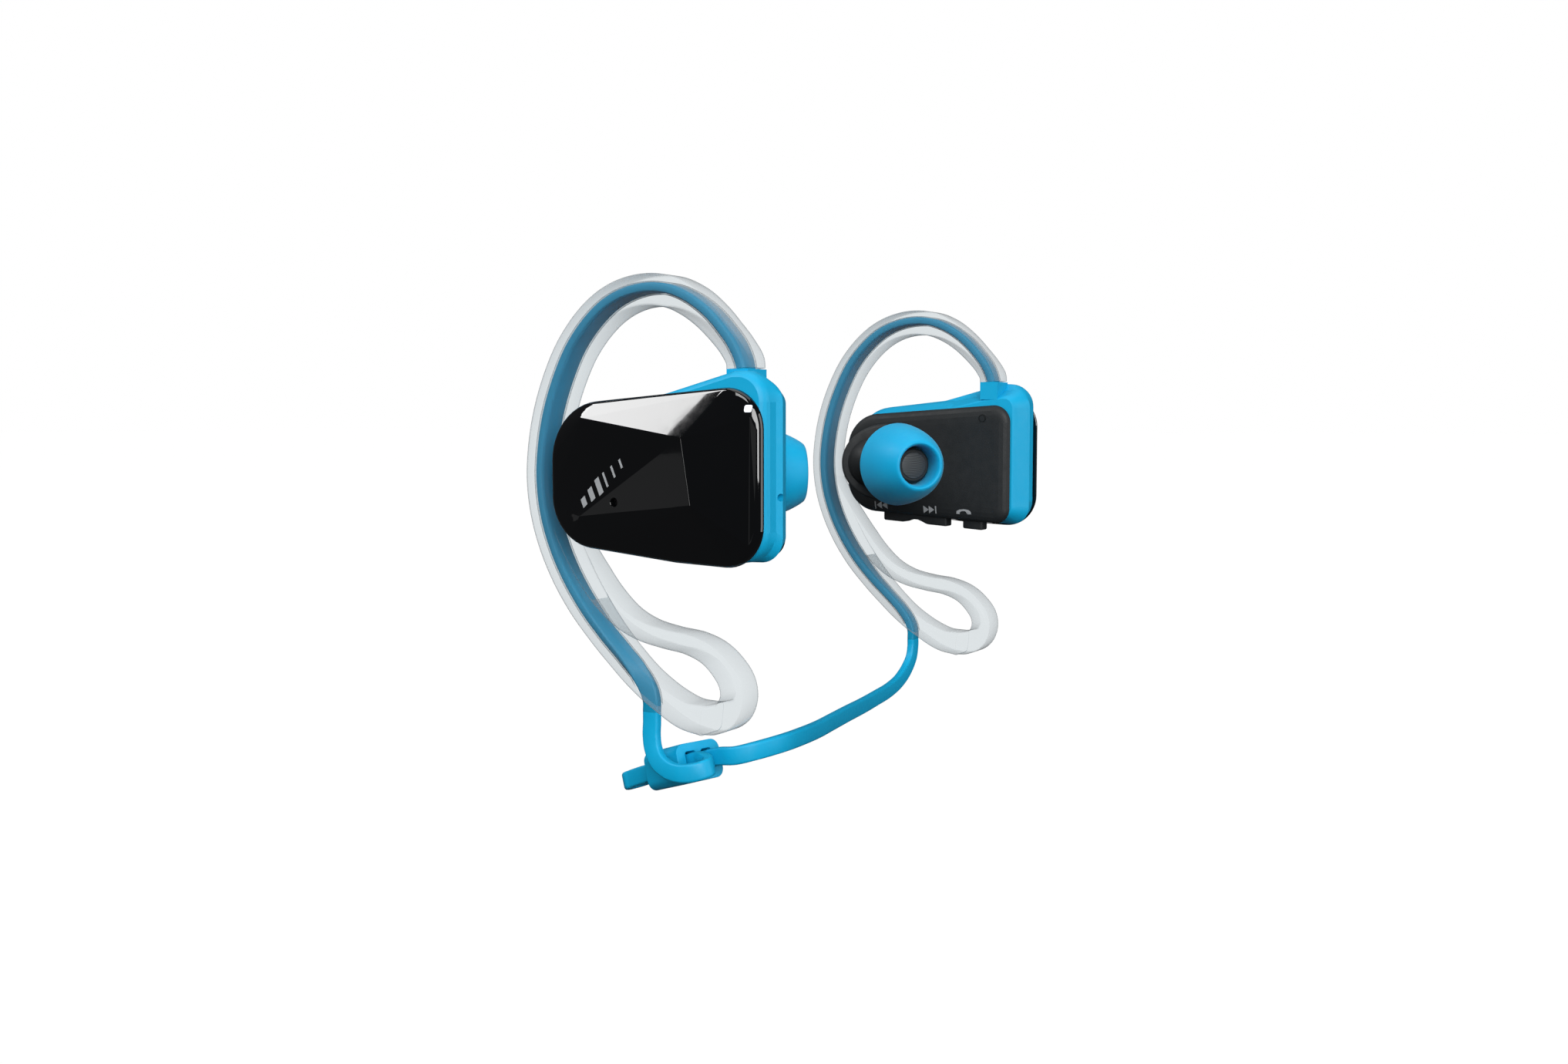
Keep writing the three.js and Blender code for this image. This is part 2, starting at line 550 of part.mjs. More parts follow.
function flapSolid() {
  const { y0, y1 } = PORT;
  const x = (KEY_X.x0 + KEY_X.x1) / 2;
  const outer = [[y0, bottomEdge(y0) + 0.9], [y0, bottomEdge(y0)], [y1, bottomEdge(y1)], [y1, bottomEdge(y1) + 0.9]];
  const profile = outer.map(([y, h]) => new THREE.Vector2(y, h));
  const plate = stack([KEY_X.x0, profile], [KEY_X.x1, profile]);
  const mid = (y0 + y1) / 2;
  const plug = block(x - 0.9, x + 0.9, mid - 3.2, mid + 3.2, -9.8, -8.8);
  const lift = block(x - 1.0, x + 1.0, y0, y0 + 0.8, bottomEdge(y0) - 0.45, bottomEdge(y0) + 0.3);
  return join(plate, plug, lift);
}

// ---------------------------------------------------------------- strap and adjuster
const ADJUSTER = { at: [-34.3, 10.5, -40.4], length: 7.6, depth: 7.6, height: 5.4, turn: 16, tilt: 18 };
const SLOT_OFFSET = 1.4;         // each slot's distance from the adjuster's middle
const TAIL_LENGTH = 10.4;        // from the adjuster's middle to the start of the tail's turn

// The adjuster's own directions: along its slots, across them, and up.
const turn = THREE.MathUtils.degToRad(ADJUSTER.turn);
const tilt = THREE.MathUtils.degToRad(ADJUSTER.tilt);
const ALONG = new THREE.Vector3(-Math.sin(turn) * Math.cos(tilt), -Math.cos(turn) * Math.cos(tilt), Math.sin(tilt));
const ACROSS = new THREE.Vector3(Math.cos(turn), -Math.sin(turn), 0);
const UP = ALONG.clone().cross(ACROSS);

// A point on a slot's axis: offset across the adjuster, and a distance along it. Behind the
// adjuster the strap's tail droops a little.
function inSlot(offset, along) {
  const point = new THREE.Vector3(...ADJUSTER.at);
  point.z -= 0.006 * Math.min(along + 4, 0) ** 2;
  return point.addScaledVector(ACROSS, offset).addScaledVector(ALONG, along).toArray();
}

function adjusterGeometry() {
  const { length, depth, height } = ADJUSTER;
  const [d, h, corner] = [depth / 2, height / 2, 1.3];
  const corners = [[-d, -h, corner], [d, -h, corner], [d, h, corner], [-d, h, corner]];
  const slice = (at, inset) => outline(corners, inset, 4).map((p) => new THREE.Vector3(p.x, at, p.y));
  const end = length / 2;
  const body = skin([slice(-end, 0.35), slice(0.4 - end, 0), slice(end - 0.4, 0), slice(end, 0.35)], outline(corners, 0, 4));
  const slots = [-SLOT_OFFSET, SLOT_OFFSET].map((offset) => {
    const slot = new THREE.BoxGeometry(STRAP_T + 2 * GAP, length + 2, STRAP_W + 2 * GAP);
    return solid(slot.translate(offset, 0, 0));
  });
  const geometry = geometryOf(cut(body, ...slots));
  const pose = new THREE.Matrix4().makeBasis(ACROSS, ALONG.clone().negate(), UP);
  return geometry.applyMatrix4(pose.setPosition(...ADJUSTER.at));
}

// The strap, from the right hook to the left: each point has the direction of the strap's width.
const FORE_AFT = [0, -1, 0];
const SIDEWAYS = [-1, 0, 0];
const UPRIGHT = [0, 0, 1];
const SLOTWISE = UP.toArray();
const STRAP_ROUTE = [
  [[-HOOK_X, 11.5, -32.0], FORE_AFT],
  [[-HOOK_X, 11.5, -33.5], FORE_AFT],
  [[-40.4, 11.5, -35.2], FORE_AFT],
  [[-40.6, 11.1, -37.0], [0, -1, 0.3]],
  [[-41.0, 9.9, -38.6], [0, -1, 1]],
  [[-41.3, 8.0, -39.5], [0, -0.35, 1]],
  [[-41.3, 6.0, -39.7], UPRIGHT],
  [[-40.7, 4.2, -39.4], UPRIGHT],
  [[-39.6, 3.1, -39.0], SLOTWISE],
  [[-38.3, 3.5, -38.8], SLOTWISE],
  [inSlot(-SLOT_OFFSET, 5.4), SLOTWISE],
  [inSlot(-SLOT_OFFSET, 4.2), SLOTWISE],
  [inSlot(-SLOT_OFFSET, 2), SLOTWISE],
  [inSlot(-SLOT_OFFSET, -3.5), SLOTWISE],
  [inSlot(-SLOT_OFFSET, 2 - TAIL_LENGTH), SLOTWISE],
  [inSlot(-SLOT_OFFSET, -TAIL_LENGTH), SLOTWISE],
  [inSlot(-SLOT_OFFSET, -TAIL_LENGTH - 1.1), SLOTWISE],
  [inSlot(0, -TAIL_LENGTH - 2.4), SLOTWISE],
  [inSlot(SLOT_OFFSET, -TAIL_LENGTH - 1.1), SLOTWISE],
  [inSlot(SLOT_OFFSET, -TAIL_LENGTH), SLOTWISE],
  [inSlot(SLOT_OFFSET, 2 - TAIL_LENGTH), SLOTWISE],
  [inSlot(SLOT_OFFSET, -3.5), SLOTWISE],
  [inSlot(SLOT_OFFSET, 2), SLOTWISE],
  [inSlot(SLOT_OFFSET, 4.2), SLOTWISE],
  [inSlot(SLOT_OFFSET, 6.4), SLOTWISE],
  [[-34.8, 1.6, -38.0], UPRIGHT],
  [[-33.2, -0.9, -37.3], UPRIGHT],
  [[-29.0, -2.4, -36.9], UPRIGHT],
  [[-23.0, -1.9, -37.1], UPRIGHT],
  [[-15.5, -0.3, -37.6], UPRIGHT],
  [[-7.0, 1.9, -38.1], UPRIGHT],
  [[2.0, 4.2, -38.6], UPRIGHT],
  [[11.0, 6.4, -39.1], UPRIGHT],
  [[20.0, 8.5, -39.4], UPRIGHT],
  [[28.0, 10.1, -39.4], UPRIGHT],
  [[34.0, 11.1, -38.7], [-0.2, 0, 1]],
  [[37.8, 11.5, -37.2], [-1, 0, 1]],
  [[39.7, 11.5, -35.3], SIDEWAYS],
  [[HOOK_X, 11.5, -33.3], SIDEWAYS],
  [[HOOK_X, 11.5, -32.0], SIDEWAYS],
];

function strapGeometry() {
  return ribbon(STRAP_ROUTE.map(([point]) => point), STRAP_ROUTE.map(([, wide]) => wide), STRAP_W, STRAP_T, 80);
}

// ---------------------------------------------------------------- assembly
const group = new THREE.Group();

function add(name, geometry, colour) {
  const mesh = new THREE.Mesh(geometry, new THREE.MeshStandardMaterial(COLOURS[colour]));
  mesh.name = name;
  group.add(mesh);
}

const frame = frameSolid();
const shell = innerShellSolid();
const micHole = drum(40, 52, MIC_AT.y, MIC_AT.z, 0.75, 12);
const ledHole = block(40, 52, LED_AT.y - 0.75, LED_AT.y + 0.75, LED_AT.z - 0.75, LED_AT.z + 0.75);
const rockerSlot = bottomSlot(ROCKER.y0, ROCKER.y1);
const callSlot = bottomSlot(CALL_KEY.y0, CALL_KEY.y1);
const portSlot = bottomSlot(PORT.y0, PORT.y1);

const pinhole = new THREE.CylinderGeometry(0.5, 0.5, 2.4, 10);
pinhole.translate(41.9, -9.9, -2.3);
const frameWithPinhole = cut(frame, solid(pinhole));

function both(name, geometry, colour) {
  add(`${name}_left`, geometry, colour);
  add(`${name}_right`, mirrored(geometry), colour);
}

add('ear_hook_left', geometryOf(hookSolid(false)), 'clear');
add('ear_hook_right', mirrored(geometryOf(hookSolid(true))), 'clear');
add('hook_cable_left', geometryOf(solid(cableGeometry(false))), 'blue');
add('hook_cable_right', mirrored(geometryOf(solid(cableGeometry(true)))), 'blue');
both('ear_tip', geometryOf(solid(earTipGeometry())), 'silicone');
both('nozzle_mesh', geometryOf(solid(nozzleMeshGeometry())), 'matte');
both('driver', geometryOf(solid(driverGeometry())), 'metal');
both('diaphragm', geometryOf(solid(diaphragmGeometry())), 'film');
both('circuit_board', geometryOf(boardSolid()), 'board');
both('battery', batteryGeometry(), 'foil');

add('frame_left', geometryOf(cut(frame, rockerSlot, callSlot)), 'blue');
add('inner_shell_left', geometryOf(cut(shell, rockerSlot, callSlot)), 'matte');
add('outer_cover_left', geometryOf(coverSolid([])), 'gloss');
add('antenna', antennaGeometry(), 'metal');
add('key_board', geometryOf(block(SWITCH_X - 1.4, SWITCH_X + 1.6, -4.0, 16.4, SWITCH_TOP_Z + GAP, SWITCH_TOP_Z + GAP + 0.6)), 'board');
Object.entries(SWITCH_AT).forEach(([name, y]) => add(`switch_${name}`, switchGeometry(y), 'metal'));
add('track_rocker', geometryOf(rockerSolid()), 'matte');
add('call_button', geometryOf(callKeySolid()), 'matte');

add('frame_right', mirrored(geometryOf(cut(frameWithPinhole, portSlot))), 'blue');
add('inner_shell_right', mirrored(geometryOf(cut(shell, portSlot))), 'matte');
add('outer_cover_right', mirrored(geometryOf(coverSolid([micHole, ledHole]))), 'gloss');
add('charging_port', mirrored(geometryOf(portSolid())), 'metal');
add('port_flap', mirrored(geometryOf(flapSolid())), 'matte');
add('microphone', mirrored(geometryOf(drum(45.0, 46.3, MIC_AT.y, MIC_AT.z, 1.6, 16))), 'metal');
add('light_pipe', mirrored(geometryOf(block(FRAME_OUT_X + GAP, 46.6, LED_AT.y - 0.45, LED_AT.y + 0.45, LED_AT.z - 0.45, LED_AT.z + 0.45))), 'white');

add('adjuster', adjusterGeometry(), 'blue');
add('neck_strap', strapGeometry(), 'blue');

export default group;
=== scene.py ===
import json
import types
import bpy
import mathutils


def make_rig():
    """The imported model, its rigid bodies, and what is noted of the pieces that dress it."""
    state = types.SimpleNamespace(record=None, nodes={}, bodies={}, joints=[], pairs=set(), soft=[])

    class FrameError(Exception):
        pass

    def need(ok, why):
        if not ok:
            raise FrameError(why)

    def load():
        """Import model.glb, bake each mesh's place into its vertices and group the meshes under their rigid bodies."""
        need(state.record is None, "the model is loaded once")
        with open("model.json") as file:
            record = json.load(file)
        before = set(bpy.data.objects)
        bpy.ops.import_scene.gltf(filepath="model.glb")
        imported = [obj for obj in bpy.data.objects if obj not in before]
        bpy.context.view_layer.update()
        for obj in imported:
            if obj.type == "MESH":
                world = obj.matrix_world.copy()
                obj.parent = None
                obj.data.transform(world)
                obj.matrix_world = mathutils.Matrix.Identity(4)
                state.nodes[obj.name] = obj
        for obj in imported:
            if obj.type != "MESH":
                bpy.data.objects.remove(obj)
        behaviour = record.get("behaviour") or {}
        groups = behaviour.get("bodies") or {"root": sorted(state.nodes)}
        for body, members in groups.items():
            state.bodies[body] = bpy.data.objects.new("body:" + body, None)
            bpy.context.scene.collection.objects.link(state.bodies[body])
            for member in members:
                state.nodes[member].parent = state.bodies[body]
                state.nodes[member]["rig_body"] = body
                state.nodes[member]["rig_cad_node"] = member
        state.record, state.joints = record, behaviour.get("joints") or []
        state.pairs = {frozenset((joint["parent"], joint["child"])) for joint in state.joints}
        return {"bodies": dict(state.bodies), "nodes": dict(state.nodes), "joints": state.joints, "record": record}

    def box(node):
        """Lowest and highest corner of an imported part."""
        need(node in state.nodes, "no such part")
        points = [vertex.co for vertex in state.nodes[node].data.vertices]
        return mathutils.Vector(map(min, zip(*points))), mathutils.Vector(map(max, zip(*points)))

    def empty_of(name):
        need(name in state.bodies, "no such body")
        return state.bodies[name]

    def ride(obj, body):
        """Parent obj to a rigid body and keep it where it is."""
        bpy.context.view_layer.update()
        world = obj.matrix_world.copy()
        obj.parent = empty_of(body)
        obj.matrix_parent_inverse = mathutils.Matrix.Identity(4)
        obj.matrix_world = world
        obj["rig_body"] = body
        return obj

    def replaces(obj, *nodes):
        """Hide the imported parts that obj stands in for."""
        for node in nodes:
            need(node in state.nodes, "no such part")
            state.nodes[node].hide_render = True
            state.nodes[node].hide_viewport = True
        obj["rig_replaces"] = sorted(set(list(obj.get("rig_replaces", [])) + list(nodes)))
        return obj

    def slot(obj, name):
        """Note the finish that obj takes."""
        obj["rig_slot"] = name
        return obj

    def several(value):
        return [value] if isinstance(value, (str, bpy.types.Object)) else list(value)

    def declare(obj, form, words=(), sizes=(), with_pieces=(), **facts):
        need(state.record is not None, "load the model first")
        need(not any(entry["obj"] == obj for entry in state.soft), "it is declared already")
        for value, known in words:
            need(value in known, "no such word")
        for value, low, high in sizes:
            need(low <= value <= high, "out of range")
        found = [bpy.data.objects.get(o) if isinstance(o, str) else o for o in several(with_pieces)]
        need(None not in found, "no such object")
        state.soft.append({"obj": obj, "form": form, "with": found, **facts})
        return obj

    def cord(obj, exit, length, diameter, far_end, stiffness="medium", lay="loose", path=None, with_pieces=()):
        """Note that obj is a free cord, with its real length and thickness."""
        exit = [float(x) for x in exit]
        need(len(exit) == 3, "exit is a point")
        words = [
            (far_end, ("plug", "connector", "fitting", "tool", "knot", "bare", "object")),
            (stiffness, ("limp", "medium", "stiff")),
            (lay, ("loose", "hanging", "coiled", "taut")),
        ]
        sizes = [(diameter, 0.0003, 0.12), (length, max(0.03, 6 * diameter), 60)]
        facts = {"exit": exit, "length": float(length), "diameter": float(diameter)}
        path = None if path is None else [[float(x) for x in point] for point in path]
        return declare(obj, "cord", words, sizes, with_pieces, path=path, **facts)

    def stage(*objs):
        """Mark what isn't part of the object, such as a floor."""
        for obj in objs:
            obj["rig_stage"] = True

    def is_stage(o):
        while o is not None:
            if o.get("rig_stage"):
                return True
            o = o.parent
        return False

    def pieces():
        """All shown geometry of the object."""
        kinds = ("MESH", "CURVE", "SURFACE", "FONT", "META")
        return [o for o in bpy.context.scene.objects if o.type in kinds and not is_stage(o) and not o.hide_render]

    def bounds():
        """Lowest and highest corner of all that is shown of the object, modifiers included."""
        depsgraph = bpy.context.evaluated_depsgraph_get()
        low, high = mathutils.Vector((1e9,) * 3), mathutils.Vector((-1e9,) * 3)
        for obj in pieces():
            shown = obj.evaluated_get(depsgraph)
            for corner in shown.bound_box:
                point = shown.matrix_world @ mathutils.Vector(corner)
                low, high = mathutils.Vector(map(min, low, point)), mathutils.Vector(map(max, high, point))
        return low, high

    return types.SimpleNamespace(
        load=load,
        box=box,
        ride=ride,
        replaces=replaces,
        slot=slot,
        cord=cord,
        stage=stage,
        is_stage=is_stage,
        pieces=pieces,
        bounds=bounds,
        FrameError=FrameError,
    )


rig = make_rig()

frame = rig.load()

# Neckband earphones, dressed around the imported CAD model.
# Shapes are built in millimetres in the frame's own axes (wearer faces -Y, +X is the wearer's
# left, +Z is up) and are brought to metres by settle().

import json
import math

import bmesh
import bpy
from mathutils import Matrix, Vector
from mathutils.bvhtree import BVHTree

CAD_LOW, CAD_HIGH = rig.bounds()
MM = 0.001                                   # metres in a millimetre
WELD = 0.002                                 # points closer than this, in millimetres, are joined


def box_mm(node):
    """A CAD node's lowest and highest corners, in millimetres."""
    low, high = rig.box(node)
    return low / MM, high / MM


# ---------------- driving dimensions
HOOK_LOW, HOOK_HIGH = box_mm("ear_hook_left")
FRAME_LOW, FRAME_HIGH = box_mm("frame_left")
COVER_LOW, COVER_HIGH = box_mm("outer_cover_left")
HOOK_X = (HOOK_LOW.x + HOOK_HIGH.x) / 2      # centre plane of hook, hook cable and strap exit
HOOK_WIDTH = HOOK_HIGH.x - HOOK_LOW.x
HOOK_ROUND = 0.9                             # radius of the hook's edges
FRAME_IN_X = FRAME_LOW.x                     # inner and outer edges of the coloured frame
FRAME_OUT_X = FRAME_HIGH.x
RIDGE_X = COVER_HIGH.x                       # highest line of the faceted cover
GAP = 0.3                                    # clearance between neighbouring pieces
SHELL_X = 37.4                               # ear-side face of the housing
WALL = 1.3                                   # housing wall
STRAP_WIDTH = 2.5
STRAP_THICK = 1.3
TIP_MOUTH = Vector((18.96, 0, 0))
NOZZLE_TURN = math.radians(50)               # how far forward the nozzle points
NOZZLE_DIRECTION = Vector((-math.cos(NOZZLE_TURN), -math.sin(NOZZLE_TURN), 0))
NOZZLE_START = TIP_MOUTH - NOZZLE_DIRECTION * 22.2
NOZZLE_R, NOZZLE_BORE_R = 2.75, 2.1
BOSS_Y, BOSS_R, BOSS_WALL = 13.2, 6.85, 1.1
BOSS_REAR_X, BOSS_FRONT_X = 28.5, 36.3       # the slanted boss face, at its two ends
ARC = 12                                     # steps in a housing corner


# ---------------- outlines and curves
def outline(corners, inset=0.0, steps=ARC):
    """A polygon in (y, z) whose corners (y, z, radius) are filleted, moved inwards by inset."""
    count = len(corners)
    edges = []
    for i, (y, z, _) in enumerate(corners):
        next_y, next_z, _ = corners[(i + 1) % count]
        along = Vector((next_y - y, next_z - z)).normalized()
        edges.append((Vector((y, z)) + inset * Vector((-along.y, along.x)), along))
    points = []
    for i, (_, _, radius) in enumerate(corners):
        (p, a), (q, b) = edges[i - 1], edges[i]
        turn = a.cross(b)
        corner = p + a * ((q - p).cross(b) / turn)
        fillet = max(radius - math.copysign(inset, turn), 0.25)
        angle = math.atan2(turn, a.dot(b))
        start = corner - a * fillet * abs(math.tan(angle / 2))
        centre = start + Vector((-a.y, a.x)) * math.copysign(fillet, angle)
        for s in range(steps + 1):
            points.append(centre + Matrix.Rotation(angle * s / steps, 2) @ (start - centre))
    return points


def rounded_rectangle(width, height, radius, steps=4):
    """A filleted rectangle about the origin."""
    w, h = width / 2, height / 2
    corners = [(-w, -h, radius), (w, -h, radius), (w, h, radius), (-w, h, radius)]
    return outline(corners, 0.0, steps)


def curve_points(points, per_span):
    """Centripetal Catmull-Rom points through the given ones, each with its place along the list."""
    padded = [points[0] * 2 - points[1], *points, points[-1] * 2 - points[-2]]
    out = []
    for i in range(len(points) - 1):
        p0, p1, p2, p3 = padded[i : i + 4]
        d0, d1, d2 = (max((b - a).length ** 0.5, 1e-4) for a, b in ((p0, p1), (p1, p2), (p2, p3)))
        t1 = ((p1 - p0) / d0 - (p2 - p0) / (d0 + d1) + (p2 - p1) / d1) * d1
        t2 = ((p2 - p1) / d1 - (p3 - p1) / (d1 + d2) + (p3 - p2) / d2) * d1
        last = i == len(points) - 2
        for s in range(per_span + (1 if last else 0)):
            t = s / per_span
            c2 = -3 * p1 + 3 * p2 - 2 * t1 - t2
            c3 = 2 * p1 - 2 * p2 + t1 + t2
            out.append((p1 + t1 * t + c2 * t * t + c3 * t * t * t, i + t))
    return out


def along_list(values, at):
    """A value or vector between two neighbours of a list, at a fractional place."""
    low = min(int(at), len(values) - 2)
    return values[low] + (values[low + 1] - values[low]) * (at - low)


def tangents(points):
    """The direction of a line of points at each of them."""
    ends = [points[0] * 2 - points[1], *points, points[-1] * 2 - points[-2]]
    return [(ends[i + 2] - ends[i]).normalized() for i in range(len(points))]


# ---------------- meshes
def new_object(name, mesh):
    obj = bpy.data.objects.new(name, mesh)
    bpy.context.scene.collection.objects.link(obj)
    return obj


def from_bmesh(name, bm):
    bmesh.ops.recalc_face_normals(bm, faces=bm.faces[:])
    mesh = bpy.data.meshes.new(name)
    bm.to_mesh(mesh)
    bm.free()
    return new_object(name, mesh)


def skin(name, rings):
    """A closed surface over matching rings of points."""
    bm = bmesh.new()
    rows = [[bm.verts.new(p) for p in ring] for ring in rings]
    for row, following in zip(rows, rows[1:]):
        for i in range(len(row)):
            j = (i + 1) % len(row)
            bm.faces.new((row[i], row[j], following[j], following[i]))
    bm.faces.new(list(reversed(rows[0])))
    bm.faces.new(rows[-1])
    return from_bmesh(name, bm)


def stack(name, layers):
    """Layers of an outline along x: each is (x, points)."""
    return skin(name, [[Vector((x, p.x, p.y)) for p in points] for x, points in layers])


def block(name, low, high):
    """A box between two corners."""
    (x0, y0, z0), (x1, y1, z1) = low, high
    ring = [Vector((y0, z0)), Vector((y1, z0)), Vector((y1, z1)), Vector((y0, z1))]
    return stack(name, [(x0, ring), (x1, ring)])


def turned(name, profile, origin, direction, segments=96):
    """A profile of (radius, distance) points spun about an axis.

    The profile's two ends lie on the axis, or it closes on itself."""
    turn = Vector((0, 0, 1)).rotation_difference(direction.normalized()).to_matrix()
    bm = bmesh.new()
    rows = []
    for radius, height in profile:
        if radius == 0:
            rows.append([bm.verts.new(origin + turn @ Vector((0, 0, height)))])
            continue
        ring = []
        for s in range(segments):
            angle = math.tau * s / segments
            spot = Vector((radius * math.cos(angle), radius * math.sin(angle), height))
            ring.append(bm.verts.new(origin + turn @ spot))
        rows.append(ring)
    for row, following in zip(rows, rows[1:]):
        for i in range(segments):
            j = (i + 1) % segments
            a = [row[i % len(row)], row[j % len(row)]]
            b = [following[j % len(following)], following[i % len(following)]]
            corners = [v for k, v in enumerate(a + b) if v not in (a + b)[:k]]
            if len(corners) > 2:
                bm.faces.new(corners)
    return from_bmesh(name, bm)


def smooth_profile(points, per_span):
    """A profile's points joined by a smooth curve."""
    return [(p.x, p.y) for p, _ in curve_points([Vector(q).to_3d() for q in points], per_span)]


def modified(obj, kind, **settings):
    """Adds a modifier and applies it."""
    modifier = obj.modifiers.new(kind, kind)
    for key, value in settings.items():
        setattr(modifier, key, value)
    graph = bpy.context.evaluated_depsgraph_get()
    mesh = bpy.data.meshes.new_from_object(obj.evaluated_get(graph))
    obj.modifiers.clear()
    obj.data = mesh
    return obj


def carve(obj, *cutters, operation="DIFFERENCE"):
    """Cuts other shapes out of one, or joins them by another operation, and removes them."""
    for cutter in cutters:
        modified(obj, "BOOLEAN", operation=operation, object=cutter, solver="EXACT")
        bpy.data.objects.remove(cutter)
    return obj


def fuse(obj, *others):
    return carve(obj, *others, operation="UNION")


def rounded(obj, width, segments=3, angle=32):
    """Bevels every edge sharper than the angle."""
    return modified(
        obj, "BEVEL", width=width, segments=segments, limit_method="ANGLE",
        angle_limit=math.radians(angle), miter_outer="MITER_ARC", use_clamp_overlap=True,
    )


def mirrored(obj, name):
    """A copy of a shape on the wearer's other side."""
    copy = new_object(name, obj.data.copy())
    copy.data.transform(Matrix.Scale(-1, 4, (1, 0, 0)))
    copy.data.flip_normals()
    return copy


def weld(obj):
    """Joins the points that the booleans leave on top of each other."""
    mesh = bmesh.new()
    mesh.from_mesh(obj.data)
    bmesh.ops.remove_doubles(mesh, verts=mesh.verts, dist=WELD)
    bmesh.ops.dissolve_degenerate(mesh, dist=WELD, edges=mesh.edges)
    mesh.to_mesh(obj.data)
    mesh.free()


def settle(obj, material, slot, body="body", replaces=(), crease=30, facet=None):
    """Brings a finished shape to metres, gives it its finish, and puts it on its CAD body.

    Faces larger than facet, in square millimetres, are shaded flat."""
    weld(obj)
    obj.data.shade_smooth()
    obj.data.set_sharp_from_angle(angle=math.radians(crease))
    for polygon in obj.data.polygons:
        polygon.use_smooth = facet is None or polygon.area < facet
    obj.data.transform(Matrix.Scale(MM, 4))
    obj.data.materials.clear()
    obj.data.materials.append(material)
    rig.slot(obj, slot)
    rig.ride(obj, body)
    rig.replaces(obj, *replaces)
    return obj


# ---------------- materials
def linear(red, green, blue):
    """A display colour, 0 to 255, as Blender's linear one."""
    def one(c):
        c /= 255
        return c / 12.92 if c <= 0.04045 else ((c + 0.055) / 1.055) ** 2.4
    return (one(red), one(green), one(blue), 1)


class Finish:
    """A node material around one Principled shader, textured in object space."""

    def __init__(self, name, **sockets):
        self.material = bpy.data.materials.new(name)
        self.material.use_nodes = True
        self.nodes = self.material.node_tree.nodes
        self.links = self.material.node_tree.links
        self.shader = self.nodes["Principled BSDF"]
        for key, value in sockets.items():
            self.shader.inputs[key.replace("_", " ")].default_value = value
        self.place = self.nodes.new("ShaderNodeTexCoord").outputs["Object"]

    def noise(self, scale, detail=3.0, rough=0.5, distortion=0.0):
        node = self.nodes.new("ShaderNodeTexNoise")
        node.inputs["Scale"].default_value = scale
        node.inputs["Detail"].default_value = detail
        node.inputs["Roughness"].default_value = rough
        node.inputs["Distortion"].default_value = distortion
        self.links.new(self.place, node.inputs["Vector"])
        return node.outputs["Fac"]

    def speckle(self, scale):
        """Fine cells, dark in their middles."""
        node = self.nodes.new("ShaderNodeTexVoronoi")
        node.inputs["Scale"].default_value = scale
        self.links.new(self.place, node.inputs["Vector"])
        return node.outputs["Distance"]

    def span(self, source, low, high, from_low=0.3, from_high=0.7):
        """source mapped from its own range on to low to high."""
        node = self.nodes.new("ShaderNodeMapRange")
        node.inputs["From Min"].default_value = from_low
        node.inputs["From Max"].default_value = from_high
        node.inputs["To Min"].default_value = low
        node.inputs["To Max"].default_value = high
        self.links.new(source, node.inputs["Value"])
        return node.outputs["Result"]

    def blend(self, fac, first, second):
        """The first colour where fac is 0, the second where it is 1."""
        node = self.nodes.new("ShaderNodeMix")
        node.data_type = "RGBA"
        self.links.new(fac, node.inputs["Factor"])
        for key, value in (("A", first), ("B", second)):
            socket = next(s for s in node.inputs if s.name == key and s.type == "RGBA")
            if isinstance(value, tuple):
                socket.default_value = value
            else:
                self.links.new(value, socket)
        return next(s for s in node.outputs if s.type == "RGBA")

    def colour(self, source, first, second):
        """Base colour: the first where source is 0, the second where it is 1."""
        self.links.new(self.blend(source, first, second), self.shader.inputs["Base Color"])

    def rough(self, source, low, high):
        """Roughness from low to high over the middle of source's range."""
        self.links.new(self.span(source, low, high), self.shader.inputs["Roughness"])

    def bump(self, source, height, strength=0.5):
        """Relief of a height in millimetres."""
        node = self.nodes.new("ShaderNodeBump")
        node.inputs["Strength"].default_value = strength
        node.inputs["Distance"].default_value = height * MM
        self.links.new(source, node.inputs["Height"])
        self.links.new(node.outputs["Normal"], self.shader.inputs["Normal"])


def blue_housing():
    """Moulded satin plastic: fine spark-eroded grain and a slow drift in tone."""
    finish = Finish("blue_housing", Specular_IOR_Level=0.4)
    finish.colour(finish.noise(90), linear(0, 160, 208), linear(0, 172, 219))
    finish.rough(finish.noise(900, 4), 0.45, 0.58)
    finish.bump(finish.noise(5200, 2), 0.012)
    return finish.material


def blue_cable(name="blue_cable", depth=1.0):
    """Flat cable jacket: satin, with a fine speckled skin; depth scales its tone, and below 1 that darkening is
    painted shade.
    """
    finish = Finish(name, Specular_IOR_Level=0.35)
    darker = linear(0, 158 * depth, 206 * depth)
    lighter = linear(0, 170 * depth, 217 * depth)
    tone = finish.blend(finish.noise(140), darker, lighter)
    speckled = finish.span(finish.noise(7000, 2), 0.0, 0.06)
    finish.colour(speckled, tone, linear(40, 186, 228))
    finish.rough(finish.noise(1500, 4), 0.42, 0.58)
    finish.bump(finish.speckle(5200), 0.005)
    return finish.material


def blue_silicone():
    """Soft silicone: a little light passes into it, and its skin is dull with a faint sheen."""
    finish = Finish("blue_silicone", Specular_IOR_Level=0.3)
    finish.shader.inputs["Subsurface Weight"].default_value = 0.12
    finish.shader.inputs["Subsurface Radius"].default_value = (0.2, 0.6, 1.0)
    finish.shader.inputs["Subsurface Scale"].default_value = 0.0012
    finish.shader.inputs["Sheen Weight"].default_value = 0.08
    finish.colour(finish.noise(160), linear(0, 160, 210), linear(0, 172, 221))
    finish.rough(finish.noise(1100, 4), 0.42, 0.55)
    finish.bump(finish.noise(3800, 3), 0.015)
    return finish.material


